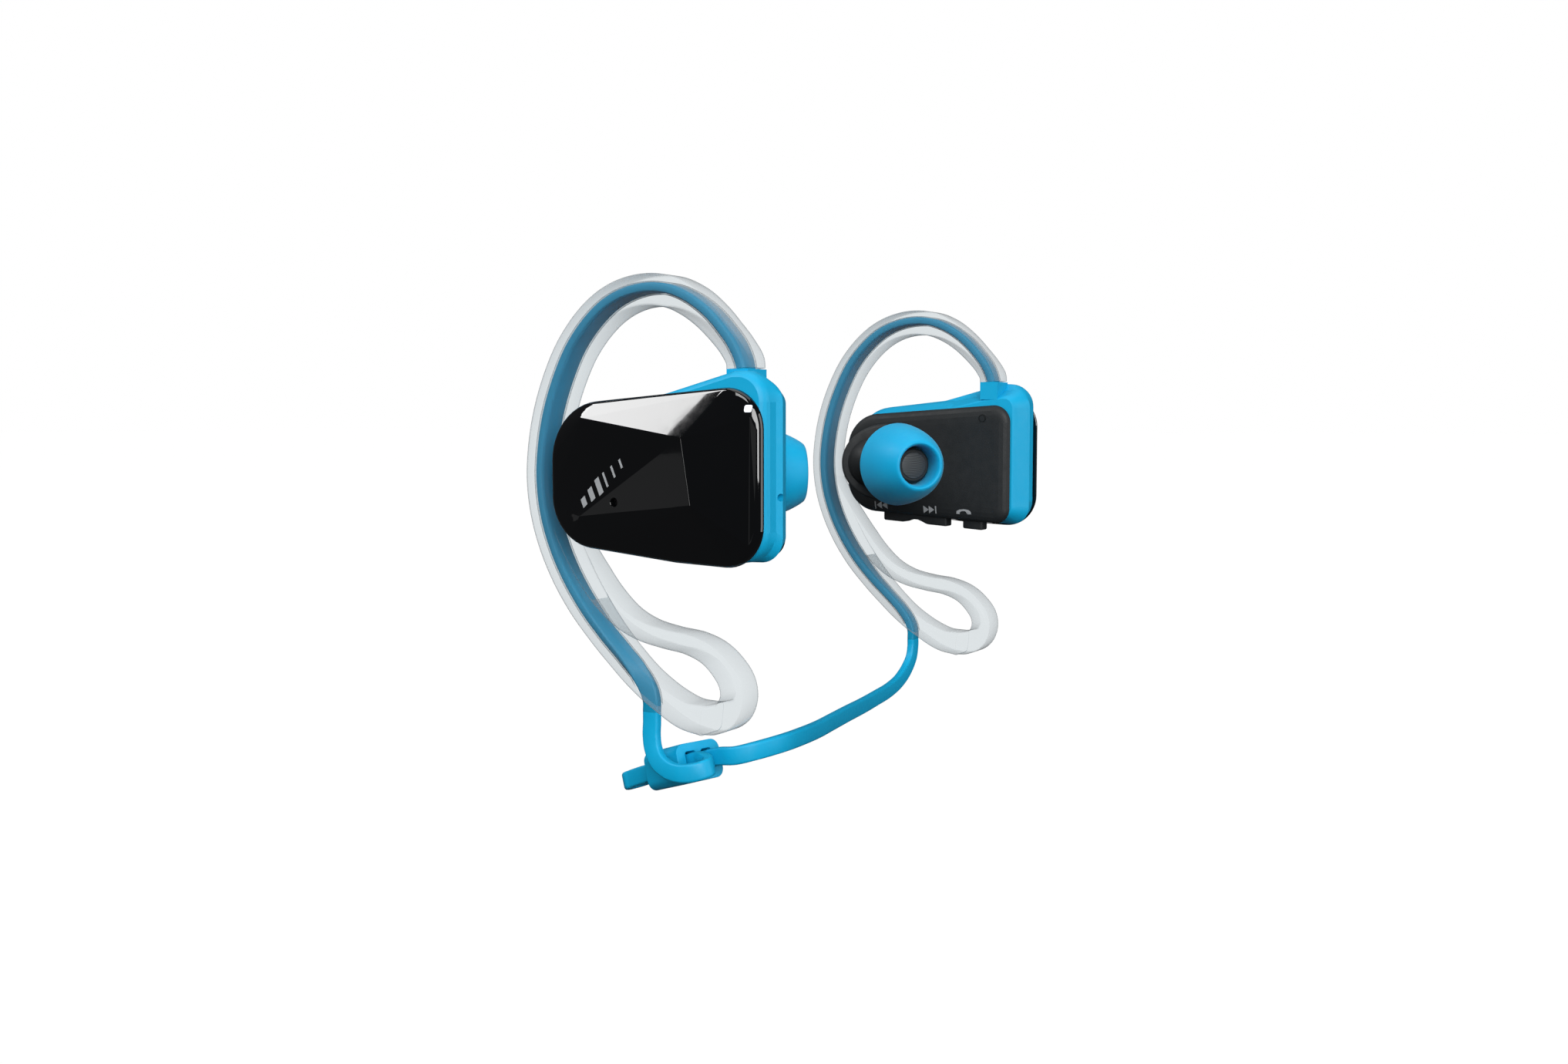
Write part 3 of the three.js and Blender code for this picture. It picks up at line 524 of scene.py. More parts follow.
def gloss_black():
    """Piano-black lacquer with the faintest drift in its polish."""
    finish = Finish("gloss_black", Specular_IOR_Level=0.5, Coat_Weight=0.6, Coat_Roughness=0.012)
    finish.colour(finish.noise(120), linear(3, 4, 6), linear(6, 7, 9))
    finish.rough(finish.noise(420, 5, 0.6, 0.8), 0.02, 0.05)
    finish.bump(finish.noise(160, 2, 0.5, 1.5), 0.008, 0.2)
    return finish.material


def matte_black():
    """Fine-grained moulded plastic."""
    finish = Finish("matte_black", Specular_IOR_Level=0.35)
    finish.colour(finish.noise(110), linear(25, 28, 30), linear(34, 37, 39))
    finish.rough(finish.noise(800, 4), 0.48, 0.62)
    finish.bump(finish.noise(4200, 3), 0.03)
    return finish.material


def clear_tpu():
    """Clear soft plastic that shows what is behind it, hazier where it is seen edge on."""
    finish = Finish("clear_tpu", Specular_IOR_Level=0.6, Coat_Weight=0.2, Coat_Roughness=0.2)
    finish.colour(finish.noise(150), linear(190, 194, 197), linear(205, 208, 210))
    finish.rough(finish.noise(300, 3, 0.5, 0.6), 0.22, 0.3)
    finish.bump(finish.noise(160, 1), 0.01, 0.1)
    see_through = finish.nodes.new("ShaderNodeBsdfTransparent")
    see_through.inputs["Color"].default_value = (0.86, 0.885, 0.895, 1)
    edge = finish.nodes.new("ShaderNodeLayerWeight")
    edge.inputs["Blend"].default_value = 0.35
    mix = finish.nodes.new("ShaderNodeMixShader")
    finish.links.new(finish.span(edge.outputs["Facing"], 0.04, 0.8, 0.28, 0.92), mix.inputs[0])
    finish.links.new(see_through.outputs[0], mix.inputs[1])
    finish.links.new(finish.shader.outputs[0], mix.inputs[2])
    finish.links.new(mix.outputs[0], finish.nodes["Material Output"].inputs["Surface"])
    return finish.material


def printed_ink():
    """Pad-printed grey ink with a slightly broken surface."""
    finish = Finish("printed_ink", Specular_IOR_Level=0.3)
    finish.colour(finish.noise(2500, 3), linear(150, 154, 157), linear(170, 173, 176))
    finish.rough(finish.noise(2000), 0.5, 0.7)
    return finish.material


def light_lens():
    """Frosted pale light pipe, lit."""
    finish = Finish("light_lens", Emission_Strength=0.5)
    finish.shader.inputs["Emission Color"].default_value = (0.9, 0.95, 1.0, 1)
    finish.colour(finish.noise(1500), linear(232, 236, 240), linear(252, 253, 255))
    finish.rough(finish.noise(1800), 0.25, 0.45)
    return finish.material


def woven_mesh():
    """Dark wax guard: a fine square weave."""
    finish = Finish("woven_mesh", Metallic=0.3)
    weave = finish.nodes.new("ShaderNodeTexChecker")
    weave.inputs["Scale"].default_value = 5200
    finish.links.new(finish.place, weave.inputs["Vector"])
    finish.colour(weave.outputs["Fac"], linear(46, 49, 51), linear(78, 81, 83))
    finish.rough(finish.noise(1500), 0.4, 0.6)
    finish.bump(weave.outputs["Fac"], 0.04)
    return finish.material


def brushed_steel():
    """Drawn and brushed metal of the cans and contacts."""
    finish = Finish("brushed_steel", Metallic=1.0)
    finish.colour(finish.noise(300, 6), linear(176, 178, 182), linear(208, 210, 212))
    finish.rough(finish.noise(2500, 6), 0.22, 0.4)
    finish.bump(finish.noise(3000, 5), 0.01)
    return finish.material


def circuit_board():
    """Green solder mask over a pattern of raised tracks."""
    finish = Finish("circuit_board", Specular_IOR_Level=0.5)
    tracks = finish.nodes.new("ShaderNodeTexBrick")
    tracks.inputs["Scale"].default_value = 700
    tracks.inputs["Mortar Size"].default_value = 0.06
    finish.links.new(finish.place, tracks.inputs["Vector"])
    finish.colour(tracks.outputs["Fac"], linear(10, 74, 44), linear(34, 120, 70))
    finish.rough(finish.noise(900), 0.3, 0.45)
    finish.bump(tracks.outputs["Fac"], 0.03)
    return finish.material


def pouch_foil():
    """Crinkled aluminium laminate."""
    finish = Finish("pouch_foil", Metallic=0.8)
    finish.colour(finish.noise(400), linear(150, 156, 162), linear(186, 190, 194))
    finish.rough(finish.noise(1200, 4), 0.28, 0.45)
    finish.bump(finish.speckle(900), 0.06)
    return finish.material


def speaker_film():
    """Thin amber film with pressed ripples."""
    finish = Finish("speaker_film", Specular_IOR_Level=0.5)
    finish.colour(finish.noise(500), linear(206, 192, 150), linear(228, 216, 178))
    finish.rough(finish.noise(900), 0.25, 0.4)
    finish.bump(finish.noise(1800, 2), 0.03)
    return finish.material


def floor_paper():
    """Paper that glows evenly white, so that no shadow or mirror image falls on it."""
    finish = Finish("floor_paper", Specular_IOR_Level=0.1, Emission_Strength=1.0)
    finish.shader.inputs["Emission Color"].default_value = (1, 1, 1, 1)
    finish.colour(finish.noise(3), linear(12, 12, 12), linear(20, 20, 20))
    finish.rough(finish.noise(40), 0.8, 0.95)
    return finish.material


BLUE, CABLE, SILICONE = blue_housing(), blue_cable(), blue_silicone()
# The cable inside the clear hook takes a darker copy of the jacket: painted shade standing in for the shadow the hook
# would cast.
HOOK_CABLE_SHADED = blue_cable("blue_cable_in_hook", 0.82)
GLOSS, MATTE, CLEAR = gloss_black(), matte_black(), clear_tpu()
INK, LENS, WEAVE = printed_ink(), light_lens(), woven_mesh()
STEEL, BOARD, FOIL, FILM = brushed_steel(), circuit_board(), pouch_foil(), speaker_film()


# ---------------- camera
def add_camera():
    """A 35 mm lens in front of the wearer's right ear, looking back at both earpieces."""
    data = bpy.data.cameras.new("camera")
    data.lens = 35
    data.sensor_width = 36
    data.clip_start, data.clip_end = 0.01, 20
    camera = new_object("camera", data)
    camera.location = (-0.207, -0.10886, 0.00756)
    forward = Vector((0.8564, 0.5110, -0.0736))
    camera.rotation_mode = "QUATERNION"
    camera.rotation_quaternion = forward.to_track_quat("-Z", "Y")
    bpy.context.scene.camera = camera


# ---------------- strap and adjuster
ADJUSTER = {"at": Vector((-34.3, 10.5, -40.4)), "length": 7.6, "depth": 7.6, "height": 5.4, "round": 1.35}
SLOT_OFFSET = 1.4                            # from the adjuster's middle to each slot's
TAIL_LENGTH = 10.4                           # from the adjuster's middle to the strap's fold
TURN, TILT = math.radians(16), math.radians(18)
ALONG = Vector((-math.sin(TURN) * math.cos(TILT), -math.cos(TURN) * math.cos(TILT), math.sin(TILT)))
ACROSS = Vector((math.cos(TURN), -math.sin(TURN), 0))
UP = ALONG.cross(ACROSS)

FORE_AFT, SIDEWAYS, UPRIGHT = Vector((0, -1, 0)), Vector((-1, 0, 0)), Vector((0, 0, 1))


def in_slot(offset, along):
    """A point on a slot's axis; behind the adjuster the strap's tail droops a little."""
    droop = UPRIGHT * 0.006 * min(along + 4, 0) ** 2
    return ADJUSTER["at"] + ACROSS * offset + ALONG * along - droop


# The strap from the right hook to the left, with the direction of its width at each point.
STRAP_ROUTE = [
    ((-HOOK_X, 11.5, -32.0), FORE_AFT),
    ((-HOOK_X, 11.5, -33.5), FORE_AFT),
    ((-40.4, 11.5, -35.2), FORE_AFT),
    ((-40.6, 11.1, -37.0), Vector((0, -1, 0.3))),
    ((-41.0, 9.9, -38.6), Vector((0, -1, 1))),
    ((-41.3, 8.0, -39.5), Vector((0, -0.35, 1))),
    ((-41.3, 6.0, -39.7), UPRIGHT),
    ((-40.7, 4.2, -39.4), UPRIGHT),
    ((-39.6, 3.1, -39.0), UP),
    ((-38.3, 3.5, -38.8), UP),
    (in_slot(-SLOT_OFFSET, 5.4), UP),
    (in_slot(-SLOT_OFFSET, 4.2), UP),
    (in_slot(-SLOT_OFFSET, 2), UP),
    (in_slot(-SLOT_OFFSET, -3.5), UP),
    (in_slot(-SLOT_OFFSET, 2 - TAIL_LENGTH), UP),
    (in_slot(-SLOT_OFFSET, -TAIL_LENGTH), UP),
    (in_slot(-SLOT_OFFSET, -TAIL_LENGTH - 1.1), UP),
    (in_slot(0, -TAIL_LENGTH - 2.4), UP),
    (in_slot(SLOT_OFFSET, -TAIL_LENGTH - 1.1), UP),
    (in_slot(SLOT_OFFSET, -TAIL_LENGTH), UP),
    (in_slot(SLOT_OFFSET, 2 - TAIL_LENGTH), UP),
    (in_slot(SLOT_OFFSET, -3.5), UP),
    (in_slot(SLOT_OFFSET, 2), UP),
    (in_slot(SLOT_OFFSET, 4.2), UP),
    (in_slot(SLOT_OFFSET, 6.4), UP),
    ((-34.8, 1.6, -38.0), UPRIGHT),
    ((-33.2, -0.9, -37.3), UPRIGHT),
    ((-29.0, -2.4, -36.9), UPRIGHT),
    ((-23.0, -1.9, -37.1), UPRIGHT),
    ((-15.5, -0.3, -37.6), UPRIGHT),
    ((-7.0, 1.9, -38.1), UPRIGHT),
    ((2.0, 4.2, -38.6), UPRIGHT),
    ((11.0, 6.4, -39.1), UPRIGHT),
    ((20.0, 8.5, -39.4), UPRIGHT),
    ((28.0, 10.1, -39.4), UPRIGHT),
    ((34.0, 11.1, -38.7), Vector((-0.2, 0, 1))),
    ((37.8, 11.5, -37.2), Vector((-1, 0, 1))),
    ((39.7, 11.5, -35.3), SIDEWAYS),
    ((HOOK_X, 11.5, -33.3), SIDEWAYS),
    ((HOOK_X, 11.5, -32.0), SIDEWAYS),
]


def ribbon(name, route, width, thick, per_span):
    """A flat, round-edged band along a route of (point, width direction, width factor), and the
    line that it follows."""
    samples = curve_points([Vector(point) for point, _, _ in route], per_span)
    line = [point for point, _ in samples]
    section = rounded_rectangle(width, thick, thick * 0.3, 3)
    rings = []
    for (point, at), tangent in zip(samples, tangents(line)):
        wide = along_list([w for _, w, _ in route], at)
        stretch = along_list([s for _, _, s in route], at)
        wide = (wide - tangent * wide.dot(tangent)).normalized()
        deep = tangent.cross(wide)
        rings.append([point + wide * p.x * stretch + deep * p.y for p in section])
    return skin(name, rings), line


def strap():
    """The neck strap, its path in metres, and that path's length."""
    route = [(point, wide, 1.0) for point, wide in STRAP_ROUTE]
    piece, line = ribbon("strap_band", route, STRAP_WIDTH, STRAP_THICK, 8)
    settle(piece, CABLE, "blue_cable", replaces=["neck_strap"])
    path = [point * MM for point in line]
    length = sum((b - a).length for a, b in zip(path, path[1:]))
    return piece, path, length


def adjuster():
    """A soft-cornered block with two slots right through it."""
    length, depth, height = ADJUSTER["length"], ADJUSTER["depth"], ADJUSTER["height"]
    shape = rounded_rectangle(depth, height, ADJUSTER["round"], 8)
    ends = [(-length / 2, shape), (length / 2, shape)]
    body = skin("adjuster_block", [[Vector((p.x, y, p.y)) for p in points] for y, points in ends])
    slot = rounded_rectangle(STRAP_THICK + 2 * GAP, STRAP_WIDTH + 2 * GAP, 0.45, 4)
    for side in (-SLOT_OFFSET, SLOT_OFFSET):
        ring = [Vector((side + p.x, 0, p.y)) for p in slot]
        reach = Vector((0, length, 0))
        carve(body, skin("slot", [[p - reach for p in ring], [p + reach for p in ring]]))
    rounded(body, 0.28, 4, 40)
    pose = Matrix((ACROSS, -ALONG, UP)).transposed().to_4x4()
    body.data.transform(Matrix.Translation(ADJUSTER["at"]) @ pose)
    return settle(body, BLUE, "blue_cable", "adjuster", ["adjuster"])


# ---------------- hooks and their cables
# Stations (y, z, radial thickness) from the collar over the ear to the loop's lower corner.
HOOK_MAIN = [
    (-3.72, 14.06, 3.3), (-3.6, 15.1, 3.3), (-2.4, 17.0, 3.2), (-0.6, 19.0, 3.3), (1.6, 21.1, 3.6),
    (4.3, 23.0, 4.0), (7.4, 24.3, 4.2), (10.9, 24.7, 4.2), (14.4, 24.2, 4.2), (17.6, 22.9, 4.2),
    (20.6, 20.7, 4.2), (23.6, 17.3, 4.2), (26.0, 13.0, 4.2), (27.8, 8.2, 4.2), (28.8, 3.4, 4.2),
    (29.05, -1.0, 4.2), (28.4, -5.6, 4.2), (26.9, -10.0, 4.2), (24.8, -14.0, 4.2), (22.2, -17.8, 4.0),
    (19.3, -21.2, 3.6), (16.0, -24.5, 3.3), (12.4, -27.6, 3.2), (8.6, -30.0, 3.3), (5.0, -31.6, 3.7),
    (1.8, -32.0, 4.1),
]
# The loop goes on from there, round its nose and back up to the main branch.
HOOK_LOOP = [
    (3.4, -31.9, 3.8), (0.6, -31.8, 4.0), (-1.5, -30.9, 3.7), (-2.5, -29.0, 3.4), (-2.3, -26.9, 3.2),
    (-0.9, -24.9, 3.0), (1.2, -23.2, 2.8), (4.2, -22.1, 2.7), (8.0, -21.6, 2.6), (12.0, -20.8, 2.6),
    (15.4, -19.3, 2.7), (18.6, -16.7, 2.9), (21.2, -13.7, 3.0), (23.6, -10.4, 2.8), (25.6, -7.2, 2.4),
    (27.2, -4.2, 2.0), (28.4, -1.5, 1.6),
]
# Stations (y, z) of the cable in the hook, and the share of a quarter turn in the right one.
CABLE_ROUTE = [
    (-3.7, 9.2, 0), (-3.7, 11.6, 0), (-3.7, 14.2, 0), (-2.6, 16.9, 0), (-0.8, 19.2, 0), (1.4, 21.4, 0),
    (4.2, 23.3, 0), (7.4, 24.6, 0), (10.9, 25.0, 0), (14.5, 24.5, 0), (17.8, 23.2, 0), (20.9, 20.9, 0),
    (23.9, 17.5, 0), (26.3, 13.1, 0), (28.1, 8.3, 0), (29.1, 3.4, 0), (29.35, -1.0, 0), (28.7, -5.7, 0),
    (27.2, -10.1, 0), (25.1, -14.1, 0), (22.4, -17.9, 0), (19.4, -21.3, 0.15), (16.2, -24.3, 0.4),
    (13.6, -26.8, 0.7), (12.0, -29.0, 0.9), (11.5, -30.6, 1), (11.5, -31.98, 1),
]


def band(name, stations, per_span, width=HOOK_WIDTH):
    """A soft-cornered band in the hook's plane."""
    samples = curve_points([Vector((HOOK_X, y, z)) for y, z, _ in stations], per_span)
    thickness = [t for _, _, t in stations]
    rings = []
    for (point, at), tangent in zip(samples, tangents([p for p, _ in samples])):
        outwards = Vector((0, -tangent.z, tangent.y))
        section = rounded_rectangle(width, along_list(thickness, at), HOOK_ROUND, 4)
        rings.append([point + Vector((p.x, 0, 0)) + outwards * p.y for p in section])
    return skin(name, rings)


LOOP_NARROWER = 0.12                         # the loop is this much narrower than the main branch
CABLE_STRETCH = 0.44                         # how much wider the cable is than the strap, mid way


def cable_ribbon(name, twisted, clearance=0.0, overrun=0.0):
    """The flat cable in the hook, or a cutter for its channel that is larger all round."""
    last = len(CABLE_ROUTE) - 1
    route = []
    for i, (y, z, share) in enumerate(CABLE_ROUTE):
        angle = share * math.pi / 2 if twisted else 0
        end = overrun if i in (0, last) else 0
        widening = min(max(min(i - 1, last - 4.5 - i) / 1.5, 0), 1)
        width_direction = Vector((math.cos(angle), math.sin(angle), 0))
        route.append(((HOOK_X, y, z - end), width_direction, 1 + CABLE_STRETCH * widening))
    return ribbon(name, route, STRAP_WIDTH + 2 * clearance, STRAP_THICK + 2 * clearance, 6)[0]


def hook(side, twisted):
    """The clear hook with its cable channel, and the cable inside it."""
    loop = band("loop", HOOK_LOOP, 7, HOOK_WIDTH - LOOP_NARROWER)
    clear = fuse(band(f"hook_{side}", HOOK_MAIN, 7), loop)
    carve(clear, cable_ribbon("channel", twisted, GAP * 0.6, 3))
    cable = cable_ribbon(f"cable_{side}", twisted)
    if side == "right":
        made = [mirrored(clear, "clear_hook_right"), mirrored(cable, "blue_cable_right")]
        for old in (clear, cable):
            bpy.data.objects.remove(old)
        clear, cable = made
    settle(clear, CLEAR, "clear_tpu", replaces=[f"ear_hook_{side}"], crease=40)
    # The hook casts no shadow; the darker cable copy inside it paints that shade instead.
    clear.visible_shadow = False
    settle(cable, HOOK_CABLE_SHADED, "blue_cable", replaces=[f"hook_cable_{side}"])


# ---------------- housings
# Corners of the housing's outlines, as (y, z, radius); the cover's lower edge bows at its second.
COVER_CORNERS = [
    (-9.7, -11.35, 5.4), (3.5, -10.9, 24.0), (23.6, -9.0, 7.0), (23.6, 9.4, 8.0), (-9.7, 12.0, 5.3),
]
COVER_BED_CORNERS = COVER_CORNERS[:1] + COVER_CORNERS[2:]
SHELL_CORNERS = [(-8.0, -10.5, 2.5), (23.5, -8.6, 6.0), (23.5, 8.2, 6.2), (-8.0, 10.2, 3.0)]
FRAME_FRONT_Y, FRAME_REAR_Y = -10.0, 23.4
FRAME_FRONT_Z, FRAME_REAR_Z = -10.9, -8.8    # height of the lower edge at those two ends
# Top edges of the frame, inner and outer: foot and crest of the slope, and height of the brow.
TOP_INNER = [(4.0, 10.8, 6.0), (-3.0, 12.4, 2.0), 13.0]
TOP_OUTER = [(6.4, 10.9, 6.0), (-4.5, 13.7, 1.2), 13.8]
# The frame's ear side as (step along x, front edge, inset), and its outer edge as (step, inset).
FRAME_BEVEL = [(0, -9.8, 1.6), (0.25, -9.8, 1.35), (2.9, -9.9, 0.2), (3.6, FRAME_FRONT_Y, 0)]
FRAME_SHOULDER = 4.6                         # where the outer outline starts
FRAME_EDGE = [(1.3, 0.02), (0.7, 0.16), (0.25, 0.45), (0, 0.85)]
# The ear-side shell's edge as (step along x, inset).
SHELL_EDGE = [(0, 0.12), (0.3, 0.42), (0.52, 0.95), (0.66, 1.7), (0.7, 2.6)]
NECK_PROFILE = [
    (0, 0), (4.4, 0), (4.3, 3.2), (3.6, 4.4), (3.1, 5.3), (2.85, 5.9), (NOZZLE_R, 6.6),
    (NOZZLE_R, 18.2), (NOZZLE_R + 0.15, 18.7), (NOZZLE_R + 0.1, 19.2), (NOZZLE_R - 0.2, 19.5), (0, 19.5),
]
COLLAR = {"y0": -5.4, "y1": -2.2, "width": 4.6, "bottom": 11.0, "top": 14.0}
KEY_X0, KEY_X1 = 38.0, 40.4
ROCKER = {"y0": 4.0, "y1": 16.4, "middle": 10.2}
CALL_KEY = {"y0": -2.8, "y1": 0.9}
PORT = {"y0": 3.2, "y1": 12.4}
KEY_TOP_Z, KEY_PROUD = -7.9, 1.25
MIC_AT = (12.0, -3.25)                       # holes and marks, as (y, z)
LED_AT, LED_HALF = (-8.0, 8.9), 0.45
RING_AT, RING_R, RING_MIDDLE_R = (-3.2, 7.7), 0.72, 0.47
PINHOLE_AT, PINHOLE_R = (41.9, -2.3), 0.5    # as (x, z)
VENT_LOW, VENT_HIGH = (BOSS_REAR_X - 1, 17.6, -0.6), (BOSS_REAR_X + 1.9, 17.95, 0.6)


def frame_corners(top, front=FRAME_FRONT_Y, nose=3.2):
    """The frame's outline, given its top edge, its front edge and the radius of its nose."""
    foot, crest, brow = top
    return [
        (front, FRAME_FRONT_Z, nose), (FRAME_REAR_Y, FRAME_REAR_Z, 6.2), (FRAME_REAR_Y, 9.2, 6.6),
        foot, crest, (front, brow, nose),
    ]


def bottom_edge(y):
    """Height of the frame's lower edge at a given y."""
    slope = (FRAME_REAR_Z - FRAME_FRONT_Z) / (FRAME_REAR_Y - FRAME_FRONT_Y)
    return FRAME_FRONT_Z + (y - FRAME_FRONT_Y) * slope


def slot_cutter(y0, y1):
    """A cutter through the housing's lower wall, from below the housing to above the keys."""
    return block("slot", (KEY_X0 - GAP, y0 - GAP, -14), (KEY_X1 + GAP, y1 + GAP, -6.5))


def drum(name, x0, x1, y, z, radius, segments=48):
    """A cylinder along x."""
    profile = [(0, 0), (radius, 0), (radius, x1 - x0), (0, x1 - x0)]
    return turned(name, profile, Vector((x0, y, z)), Vector((1, 0, 0)), segments)


def collar():
    """The block on the frame's top that the hook starts from."""
    half = COLLAR["width"] / 2
    low = (HOOK_X - half, COLLAR["y0"], COLLAR["bottom"])
    high = (HOOK_X + half, COLLAR["y1"], COLLAR["top"])
    return block("collar", low, high)


def cable_hole():
    """A cutter for the cable's way down through the collar."""
    wide = STRAP_WIDTH * (1 + CABLE_STRETCH) / 2 + 0.1
    thick = STRAP_THICK / 2 + GAP
    middle = (COLLAR["y0"] + COLLAR["y1"]) / 2
    return block("hole", (HOOK_X - wide, middle - thick, 8), (HOOK_X + wide, middle + thick, 15))


def frame_piece(name, slots):
    """The coloured middle: bevelled towards the ear, with the hook's collar on top."""
    outer = frame_corners(TOP_OUTER, -9.6, 4.0)
    layers = []
    for step, front, inset in FRAME_BEVEL:
        layers.append((FRAME_IN_X + step, outline(frame_corners(TOP_INNER, front), inset)))
    layers.append((FRAME_IN_X + FRAME_SHOULDER, outline(outer)))
    for step, inset in FRAME_EDGE:
        layers.append((FRAME_OUT_X - step, outline(outer, inset)))
    body = stack(name, layers)
    fuse(body, collar())
    hollow = stack("hollow", [
        (FRAME_IN_X - 1, outline(SHELL_CORNERS, WALL)),
        (FRAME_OUT_X + 1, outline(COVER_BED_CORNERS, WALL + 0.5)),
    ])
    carve(body, hollow, cable_hole(), *slots)
    return rounded(body, 0.16, 3, 34)


def pinhole():
    """The small hole in the right frame's front wall."""
    x, z = PINHOLE_AT
    profile = [(0, 0), (PINHOLE_R, 0), (PINHOLE_R, 3.2), (0, 3.2)]
    return turned("pinhole", profile, Vector((x, -10.5, z)), Vector((0, 1, 0)), 32)


def boss_plane(depth):
    """A cutter that removes everything on the head's side of the slanted boss face."""
    centre = Vector(((BOSS_REAR_X + BOSS_FRONT_X) / 2, BOSS_Y, 0))
    normal = Vector((-2 * BOSS_R, BOSS_REAR_X - BOSS_FRONT_X, 0)).normalized()
    cutter = block("plane", (-20, -20, -20), (0, 20, 20))
    turn = Vector((-1, 0, 0)).rotation_difference(normal).to_matrix().to_4x4()
    cutter.data.transform(Matrix.Translation(centre - normal * depth) @ turn)
    return cutter


def tray(name):
    """The shell's soft-edged face, with the small ring moulded into it."""
    layers = [(FRAME_IN_X - GAP, outline(SHELL_CORNERS))]
    for step, inset in SHELL_EDGE:
        layers.append((SHELL_X - step, outline(SHELL_CORNERS, inset)))
    body = stack(name, layers)
    carve(body, drum("ring", SHELL_X - 1.2, SHELL_X - 0.5, *RING_AT, RING_R, 40))
    middle = drum("ring_middle", SHELL_X - 0.68, SHELL_X - 0.3, *RING_AT, RING_MIDDLE_R, 40)
    return fuse(body, middle)


def boss():
    """The slanted round boss that holds the driver, with a slit of a vent."""
    body = carve(drum("boss", BOSS_REAR_X - 2, SHELL_X, BOSS_Y, 0, BOSS_R, 96), boss_plane(0))
    rounded(body, 0.7, 5, 40)
    return carve(body, block("vent", VENT_LOW, VENT_HIGH))


def neck():
    """The nozzle, cut off inside the housing."""
    body = turned("neck", NECK_PROFILE, NOZZLE_START, NOZZLE_DIRECTION, 64)
    return carve(body, drum("inside", SHELL_X + 0.2, SHELL_X + 12, BOSS_Y, 0, BOSS_R + 3))


def shell_piece(name, slots):
    """The matte ear-side shell: face, boss and nozzle as one hollow piece, with a locating lip."""
    body = tray(name)
    lip_outline = outline(SHELL_CORNERS, WALL + GAP)
    lip = stack("lip", [(FRAME_IN_X + 1.4, lip_outline), (FRAME_IN_X - GAP - 0.2, lip_outline)])
    fuse(body, lip, boss(), neck())
    hollow_outline = outline(SHELL_CORNERS, WALL + 1.0)
    hollow = stack("hollow", [(SHELL_X + 0.5, hollow_outline), (FRAME_IN_X + 3, hollow_outline)])
    boss_hollow = drum("inside", BOSS_REAR_X - 2, SHELL_X + 6, BOSS_Y, 0, BOSS_R - BOSS_WALL)
    carve(boss_hollow, boss_plane(BOSS_WALL))
    bore_profile = [(0, 0), (NOZZLE_BORE_R, 0), (NOZZLE_BORE_R, 30), (0, 30)]
    bore = turned("bore", bore_profile, NOZZLE_START, NOZZLE_DIRECTION, 48)
    return carve(body, hollow, boss_hollow, bore, *slots)


# The cover's facets meet at these points, as (y, z), upper then lower, each pair at its own x.
RIDGE = [(0.3, 5.2), (-0.9, -3.3)]
FRONT_CREASE = [(-8.3, 7.9), (-8.2, -8.2)]
REAR_PLATE = [(17.5, 7.7), (18.2, -5.3)]
FRONT_CREASE_X, REAR_PLATE_X = 46.95, 47.5
LOWER_POINT_DROP = 0.3                       # how much less proud the ridge's and plate's lower ends are
COVER_EDGE = [(0.55, 0), (0.9, 0.1), (1.15, 0.3), (1.3, 0.6)]    # rim as (step outwards, inset)
COVER_WALL = 1.2


def hull(name, points):
    """The convex form around points, with its nearly flat faces merged."""
    bm = bmesh.new()
    for point in points:
        bm.verts.new(point)
    bmesh.ops.convex_hull(bm, input=bm.verts[:])
    spare = [v for v in bm.verts if not v.link_faces]
    bmesh.ops.delete(bm, geom=spare, context="VERTS")
    bmesh.ops.dissolve_limit(bm, angle_limit=math.radians(1.2), verts=bm.verts[:], edges=bm.edges[:])
    return from_bmesh(name, bm)


def crystal(name, inset):
    """The faceted cover's outer form, or its hollow when inset."""
    def rim(x, extra):
        return [Vector((x, p.x, p.y)) for p in outline(COVER_CORNERS, inset + extra)]

    def level(x, drop, pairs):
        points = []
        for i, (y, z) in enumerate(pairs):
            inner_y = y - math.copysign(inset * 0.8, y - 6)
            inner_z = z - math.copysign(inset * 0.5, z)
            points.append(Vector((x - drop * i - inset, inner_y, inner_z)))
        return points

    points = rim(FRAME_OUT_X + GAP - (1 if inset else 0), 0)
    for step, extra in COVER_EDGE:
        points += rim(FRAME_OUT_X + step - inset * 0.5, extra)
    points += level(RIDGE_X, LOWER_POINT_DROP, RIDGE)
    points += level(FRONT_CREASE_X, 0, FRONT_CREASE)
    points += level(REAR_PLATE_X, LOWER_POINT_DROP, REAR_PLATE)
    return hull(name, points)


def square_rod(name, x0, x1, y, z, half):
    """A soft-cornered square rod along x."""
    ring = [Vector((y, z)) + p for p in rounded_rectangle(2 * half, 2 * half, half * 0.35)]
    return stack(name, [(x0, ring), (x1, ring)])


def status_light():
    """The little lens of the right cover, flush with its facet."""
    lens = square_rod("status_light", FRAME_OUT_X + GAP, 49, *LED_AT, LED_HALF)
    carve(lens, crystal("limit", 0.0), operation="INTERSECT")
    rounded(lens, 0.06, 2, 40)
    lens_right = mirrored(lens, "status_light_right")
    bpy.data.objects.remove(lens)
    return lens_right


def mic_hole():
    """A cutter for the microphone's hole, flared where it comes out of the cover."""
    profile = [(0, 0), (0.55, 0), (0.55, 7.8), (0.85, 8.1), (0.85, 12), (0, 12)]
    return turned("hole", profile, Vector((40, *MIC_AT)), Vector((1, 0, 0)), 40)


def cover_piece(name, holes):
    """The gloss cover: faceted outside, hollow inside, with its facets' edges just broken."""
    body = crystal(name, 0.0)
    rounded(body, 0.11, 2, 5)
    return carve(body, crystal("hollow", COVER_WALL), *holes)


# The dip in the middle of the rocker, as (step along y, height it stands proud).
ROCKER_DIP = [(-2.3, KEY_PROUD), (-1.3, 0.85), (-0.5, 0.6), (0.5, 0.6), (1.3, 0.85), (2.3, KEY_PROUD)]


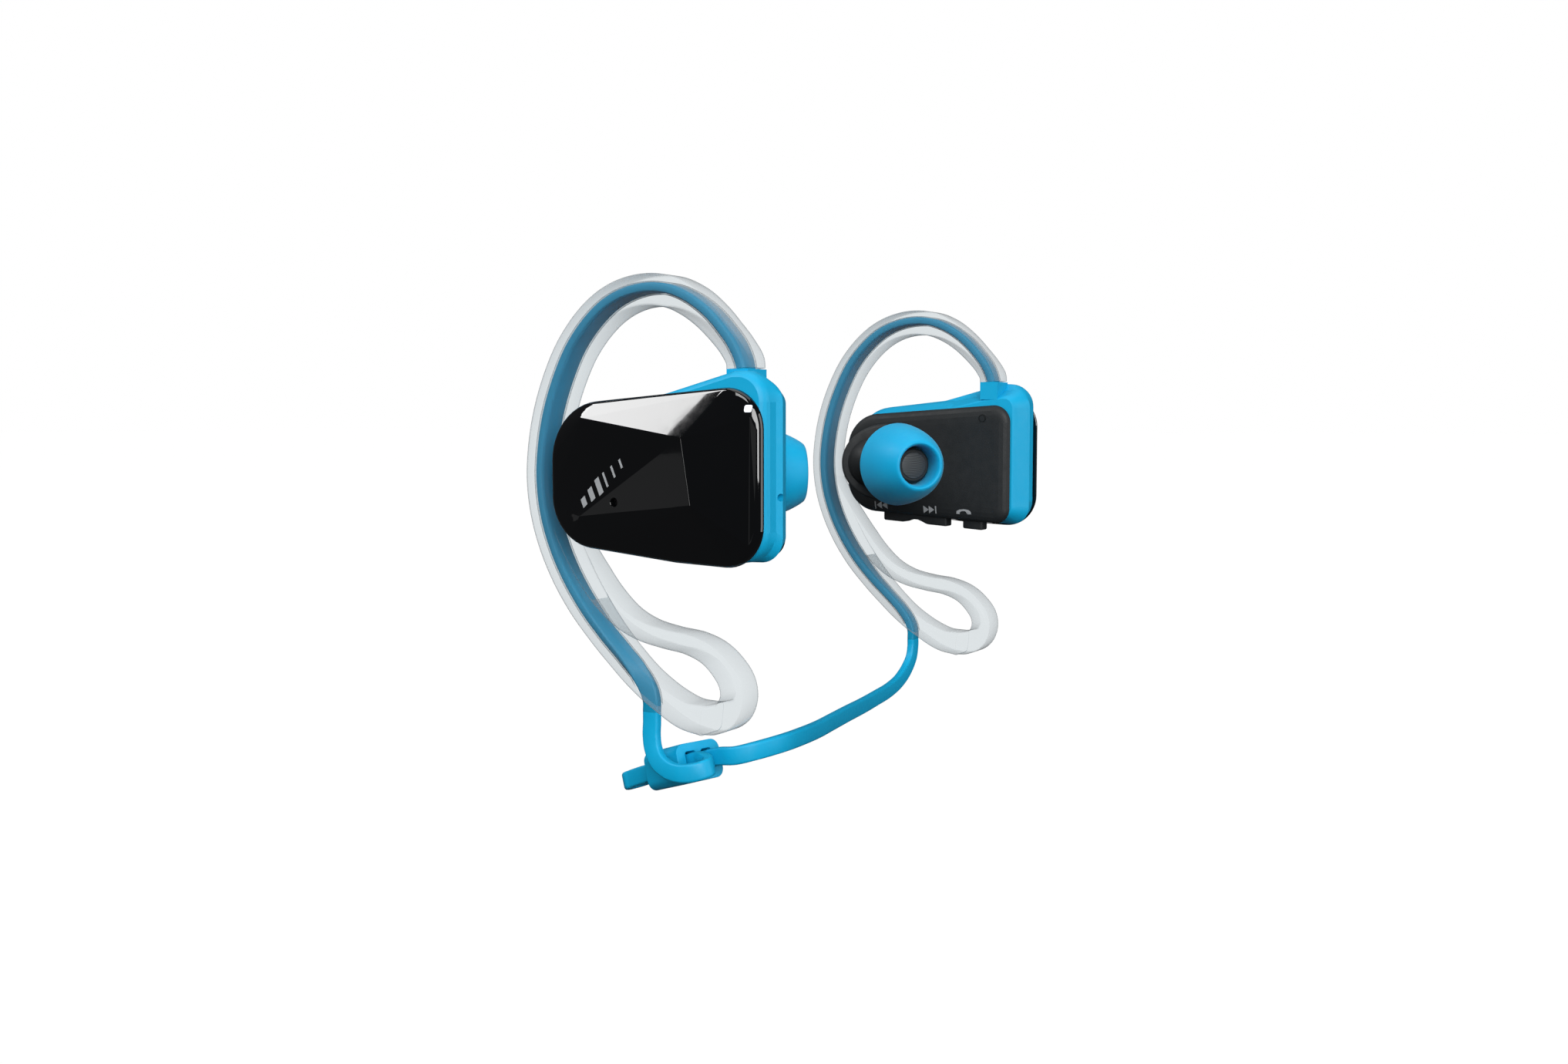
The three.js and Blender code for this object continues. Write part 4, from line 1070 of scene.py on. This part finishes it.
def key_profile(y0, y1, middle=None):
    """Side view of a key: level on its inner side, following the housing's slope below.

    A key with a middle is a rocker, and dips there."""
    points = [(y0, KEY_TOP_Z), (y0, bottom_edge(y0) - KEY_PROUD)]
    if middle is not None:
        for step, proud in ROCKER_DIP:
            points.append((middle + step, bottom_edge(middle + step) - proud))
    points += [(y1, bottom_edge(y1) - KEY_PROUD), (y1, KEY_TOP_Z)]
    return [Vector(p) for p in points]


def key(name, node, place):
    """A key from a place's y0, y1 and, on the rocker, middle, riding on its own body."""
    profile = key_profile(**place)
    piece = rounded(stack(name, [(KEY_X0, profile), (KEY_X1, profile)]), 0.32, 4, 20)
    settle(piece, MATTE, "matte_black", node, [node])


# ---------------- printed marks
INK_THICKNESS = 0.03
ARROW = {"width": 1.05, "height": 1.35}
STOP_BAR = {"width": 0.22, "height": 1.35}
NEXT_Z, PREVIOUS_Z = -8.3, -7.75             # heights of the two track symbols
# Height and width of each bar of the sound-level mark, and how far apart they are.
SOUND_BARS = [(1.2, 0.9), (1.7, 0.9), (2.2, 0.9), (2.0, 0.35), (1.6, 0.35), (1.2, 0.35)]
SOUND_BAR_PITCH = 1.75


def printed(name, shapes, target, slot):
    """Flat (y, z) shapes laid on a surface that faces the wearer's right, as thin raised ink."""
    tree = BVHTree.FromObject(target, bpy.context.evaluated_depsgraph_get())
    out = Vector((-1, 0, 0))
    bm = bmesh.new()
    for shape in shapes:
        face = bm.faces.new([bm.verts.new((0, y, z)) for y, z in shape])
        bmesh.ops.triangulate(bm, faces=[face])
    bmesh.ops.subdivide_edges(bm, edges=bm.edges[:], cuts=2, use_grid_fill=True)
    bmesh.ops.triangulate(bm, faces=bm.faces[:])
    for vert in bm.verts:
        start = Vector((0, vert.co.y, vert.co.z)) * MM + out * 0.1
        hit = tree.ray_cast(start, -out)[0]
        vert.co = hit / MM + out * 0.02
    obj = from_bmesh(name, bm)
    modified(obj, "SOLIDIFY", thickness=INK_THICKNESS, offset=0)
    return settle(obj, INK, slot)


def arrow(y, z, width, height, way):
    """A triangle from y, pointing along y the given way."""
    return [(y, z - height / 2), (y, z + height / 2), (y + way * width, z)]


def bar(y, z, width, height):
    """An upright bar from y on."""
    low, high = z - height / 2, z + height / 2
    return [(y, low), (y, high), (y + width, high), (y + width, low)]


def handset(y, z, width, height):
    """A telephone handset, arched: a band with two turned-down ends."""
    steps = 10
    outer, inner = [], []
    for s in range(steps + 1):
        angle = math.pi * s / steps
        rise = math.sin(angle) ** 0.8
        outer.append((y + width / 2 * math.cos(angle), z + height * rise))
        inner.append((y + width * 0.3 * math.cos(angle), z + height * 0.52 * rise))
    low = z - height * 0.28
    left_end = [(y - width / 2, low), (y - width * 0.27, low)]
    right_end = [(y + width * 0.27, low), (y + width / 2, low)]
    return [*outer, *left_end, *reversed(inner), *right_end]


def slanted_bars():
    """Six leaning bars, rising and then falling: a generic sound-level mark."""
    shapes = []
    start, along, lean = Vector((17.6, -3.6)), Vector((-0.79, 0.61)), Vector((0.42, 0.91))
    for i, (height, width) in enumerate(SOUND_BARS):
        foot = start + along * (SOUND_BAR_PITCH * i)
        side = along * width
        up = lean * height / 2
        shapes.append([tuple(p) for p in (foot - up, foot + side - up, foot + side + up, foot + up)])
    return shapes


def marks(ear_face, near_cover):
    """The symbols beside the keys, and the mark on the right cover."""
    symbols = {
        "mark_next": [
            arrow(7.9, NEXT_Z, way=-1, **ARROW), arrow(6.85, NEXT_Z, way=-1, **ARROW),
            bar(5.4, NEXT_Z, **STOP_BAR),
        ],
        "mark_previous": [
            bar(17.35, PREVIOUS_Z, **STOP_BAR), arrow(16.15, PREVIOUS_Z, way=1, **ARROW),
            arrow(15.05, PREVIOUS_Z, way=1, **ARROW),
        ],
        "mark_call": [handset(0.15, -8.7, 2.8, 0.66)],
    }
    for name, shapes in symbols.items():
        printed(name, shapes, ear_face, "matte_black")
    printed("mark_sound", slanted_bars(), near_cover, "gloss_black")


# ---------------- ear tips and small pieces
def ear_tip(name):
    """A silicone dome with a funnel mouth, a rolled rim and the sleeve that grips the nozzle."""
    sleeve = NOZZLE_R + 0.15 + GAP
    outer = [
        (3.28, 0.95), (3.42, 0.4), (3.7, 0.06), (4.05, 0.16), (4.42, 0.62), (4.85, 1.35),
        (5.3, 2.25), (5.75, 3.4), (6.22, 5.0), (6.62, 6.8), (6.88, 8.4), (6.95, 9.05),
    ]
    rim = [(6.78, 9.28), (6.45, 9.22)]
    inner = [(6.25, 8.6), (5.95, 6.9), (5.4, 4.9), (4.7, 3.1)]
    inside = [(4.25, 2.7), (3.95, 3.3), (3.9, 7.7), (3.75, 8.0), (3.4, 8.0)]
    funnel = [(sleeve, 7.8), (sleeve, 2.3), (3.22, 1.6), (3.28, 0.95)]
    profile = smooth_profile([*outer, *rim, *inner, *inside], 4) + smooth_profile(funnel, 4)
    return turned(name, profile, TIP_MOUTH, -NOZZLE_DIRECTION, 112)


def wax_guard(name):
    """The woven disc across the nozzle's end, slightly domed."""
    profile = [(0, 2.36), (1.1, 2.39), (1.8, 2.46), (2.12, 2.54), (2.2, 2.64), (2.2, 2.72), (0, 2.72)]
    return turned(name, profile, TIP_MOUTH, -NOZZLE_DIRECTION, 72)


def refined(node, name, material, slot, width, body="body"):
    """A CAD node's form with its flat faces merged and its edges softly bevelled."""
    mesh = frame["nodes"][node].data.copy()
    mesh.transform(Matrix.Scale(1 / MM, 4))
    bm = bmesh.new()
    bm.from_mesh(mesh)
    bmesh.ops.remove_doubles(bm, verts=bm.verts[:], dist=1e-3)
    bmesh.ops.dissolve_limit(bm, angle_limit=math.radians(1), verts=bm.verts[:], edges=bm.edges[:])
    obj = from_bmesh(name, bm)
    rounded(obj, width, 2, 35)
    return settle(obj, material, slot, body, [node])


# ---------------- assembly
def both_sides(obj, name, material, slot, node, body=None):
    """Settles a left piece and its mirror image on the right."""
    twin = mirrored(obj, f"{name}_right")
    for piece, side in ((obj, "left"), (twin, "right")):
        settle(piece, material, slot, body.format(side) if body else "body", [f"{node}_{side}"])


def housing(side, openings):
    """One side's frame, shell and cover, cut for what that side holds; gives the last two."""
    right = side == "right"
    cutters = [slot_cutter(opening["y0"], opening["y1"]) for opening in openings]
    if right:
        cutters.append(pinhole())
    body = frame_piece(f"blue_frame_{side}", cutters)
    cutters = [slot_cutter(opening["y0"], opening["y1"]) for opening in openings]
    shell = shell_piece(f"ear_shell_{side}", cutters)
    holes = [mic_hole(), square_rod("hole", 40, 52, *LED_AT, LED_HALF + 0.05)] if right else []
    cover = cover_piece(f"gloss_cover_{side}", holes)
    made = []
    for piece, material, slot, node in (
        (body, BLUE, "blue_housing", "frame"),
        (shell, MATTE, "matte_black", "inner_shell"),
        (cover, GLOSS, "gloss_black", "outer_cover"),
    ):
        if right:
            twin = mirrored(piece, piece.name + "_out")
            bpy.data.objects.remove(piece)
            piece = twin
        made.append(settle(piece, material, slot, replaces=[f"{node}_{side}"], facet=6.0))
    return made[1:]


def internals():
    """What the housings hold: the CAD's own forms with softened edges."""
    for side in ("left", "right"):
        refined(f"driver_{side}", f"speaker_{side}", STEEL, "steel", 0.1)
        refined(f"diaphragm_{side}", f"speaker_film_{side}", FILM, "diaphragm_film", 0.04)
        refined(f"circuit_board_{side}", f"main_board_{side}", BOARD, "circuit_board", 0.08)
        refined(f"battery_{side}", f"cell_{side}", FOIL, "battery_foil", 0.35)
    for node, material, slot in (
        ("antenna", STEEL, "steel"), ("key_board", BOARD, "circuit_board"),
        ("switch_prev", STEEL, "steel"), ("switch_next", STEEL, "steel"),
        ("switch_call", STEEL, "steel"), ("charging_port", STEEL, "steel"),
        ("microphone", STEEL, "steel"),
    ):
        refined(node, f"{node}_piece", material, slot, 0.08)


def build():
    """The cord first, then the rest of the object."""
    strap_piece, path, length = strap()
    slider = adjuster()
    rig.cord(
        strap_piece, exit=path[0], length=length, diameter=STRAP_WIDTH * MM, far_end="object",
        stiffness="medium", lay="hanging", path=path, with_pieces=[slider],
    )
    hook("left", False)
    hook("right", True)
    ear_face, _ = housing("left", [ROCKER, CALL_KEY])
    _, near_cover = housing("right", [PORT])
    both_sides(ear_tip("tip_left"), "tip", SILICONE, "blue_silicone", "ear_tip", "ear_tip_{}")
    both_sides(wax_guard("guard_left"), "guard", WEAVE, "nozzle_mesh", "nozzle_mesh")
    key("rocker_key", "track_rocker", ROCKER)
    key("call_key", "call_button", CALL_KEY)
    marks(ear_face, near_cover)
    settle(status_light(), LENS, "light_pipe", replaces=["light_pipe"])
    refined("port_flap", "rubber_flap", MATTE, "matte_black", 0.12, "port_flap")
    internals()


# ---------------- studio
def add_floor():
    """A bright paper floor just under the lowest point; it is kept out of reflections."""
    size, drop = 6.0, 0.002
    bm = bmesh.new()
    bmesh.ops.create_grid(bm, x_segments=24, y_segments=24, size=size)
    floor = from_bmesh("studio_floor", bm)
    floor.location.z = CAD_LOW.z - drop
    floor.visible_glossy = False
    floor.visible_diffuse = False
    floor.data.materials.append(floor_paper())
    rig.stage(floor)


# Area lights as name: (azimuth and elevation in degrees, size in metres, watts).
SOFTBOXES = {
    "key": (-140, 20, (0.5, 0.8), 9.6),
    "fill": (176, 48, (0.4, 0.35), 2.2),
    "edge": (156, 0, (0.06, 0.3), 0.2),
    "front": (-75, 10, (0.6, 0.8), 3.2),
    "top": (20, 80, (0.9, 0.9), 2.5),
    "window": (119.95, 42, (0.25, 0.38), 2.9),
    "low_card": (134, -8.6, (0.26, 0.14), 0.016),
    "strip": (-163, -2, (0.1, 0.6), 0.04),
}
SOFTBOX_DISTANCE = 1.0
WORLD_STRENGTH = 0.05


def add_softbox(name, azimuth, elevation, size, power):
    """An area light aimed at the object's middle."""
    data = bpy.data.lights.new(name, "AREA")
    data.shape = "RECTANGLE"
    data.size, data.size_y = size
    data.energy = power
    lamp = new_object(name, data)
    around, up = math.radians(azimuth), math.radians(elevation)
    out = Vector((math.cos(up) * math.cos(around), math.cos(up) * math.sin(around), math.sin(up)))
    lamp.location = (CAD_LOW + CAD_HIGH) / 2 + out * SOFTBOX_DISTANCE
    lamp.rotation_mode = "QUATERNION"
    lamp.rotation_quaternion = (-out).to_track_quat("-Z", "Y")


def add_world():
    """White where the camera looks past the object, dim grey as a source of light."""
    world = bpy.data.worlds.new("studio_world")
    bpy.context.scene.world = world
    world.use_nodes = True
    tree = world.node_tree
    dim = tree.nodes["Background"]
    dim.inputs["Color"].default_value = (1, 1, 1, 1)
    dim.inputs["Strength"].default_value = WORLD_STRENGTH
    white = tree.nodes.new("ShaderNodeBackground")
    white.inputs["Color"].default_value = (1, 1, 1, 1)
    ray = tree.nodes.new("ShaderNodeLightPath")
    mix = tree.nodes.new("ShaderNodeMixShader")
    tree.links.new(ray.outputs["Is Camera Ray"], mix.inputs[0])
    tree.links.new(dim.outputs[0], mix.inputs[1])
    tree.links.new(white.outputs[0], mix.inputs[2])
    tree.links.new(mix.outputs[0], tree.nodes["World Output"].inputs["Surface"])


def add_studio():
    """Floor, world and lights."""
    add_floor()
    add_world()
    for name, (azimuth, elevation, size, power) in SOFTBOXES.items():
        add_softbox(name, azimuth, elevation, size, power)


bpy.context.scene.view_settings.view_transform = "Standard"
add_camera()
build()
add_studio()

low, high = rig.bounds()
with open("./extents.json", "w") as file:
    json.dump({"cad": [list(CAD_LOW), list(CAD_HIGH)], "visual": [list(low), list(high)]}, file)
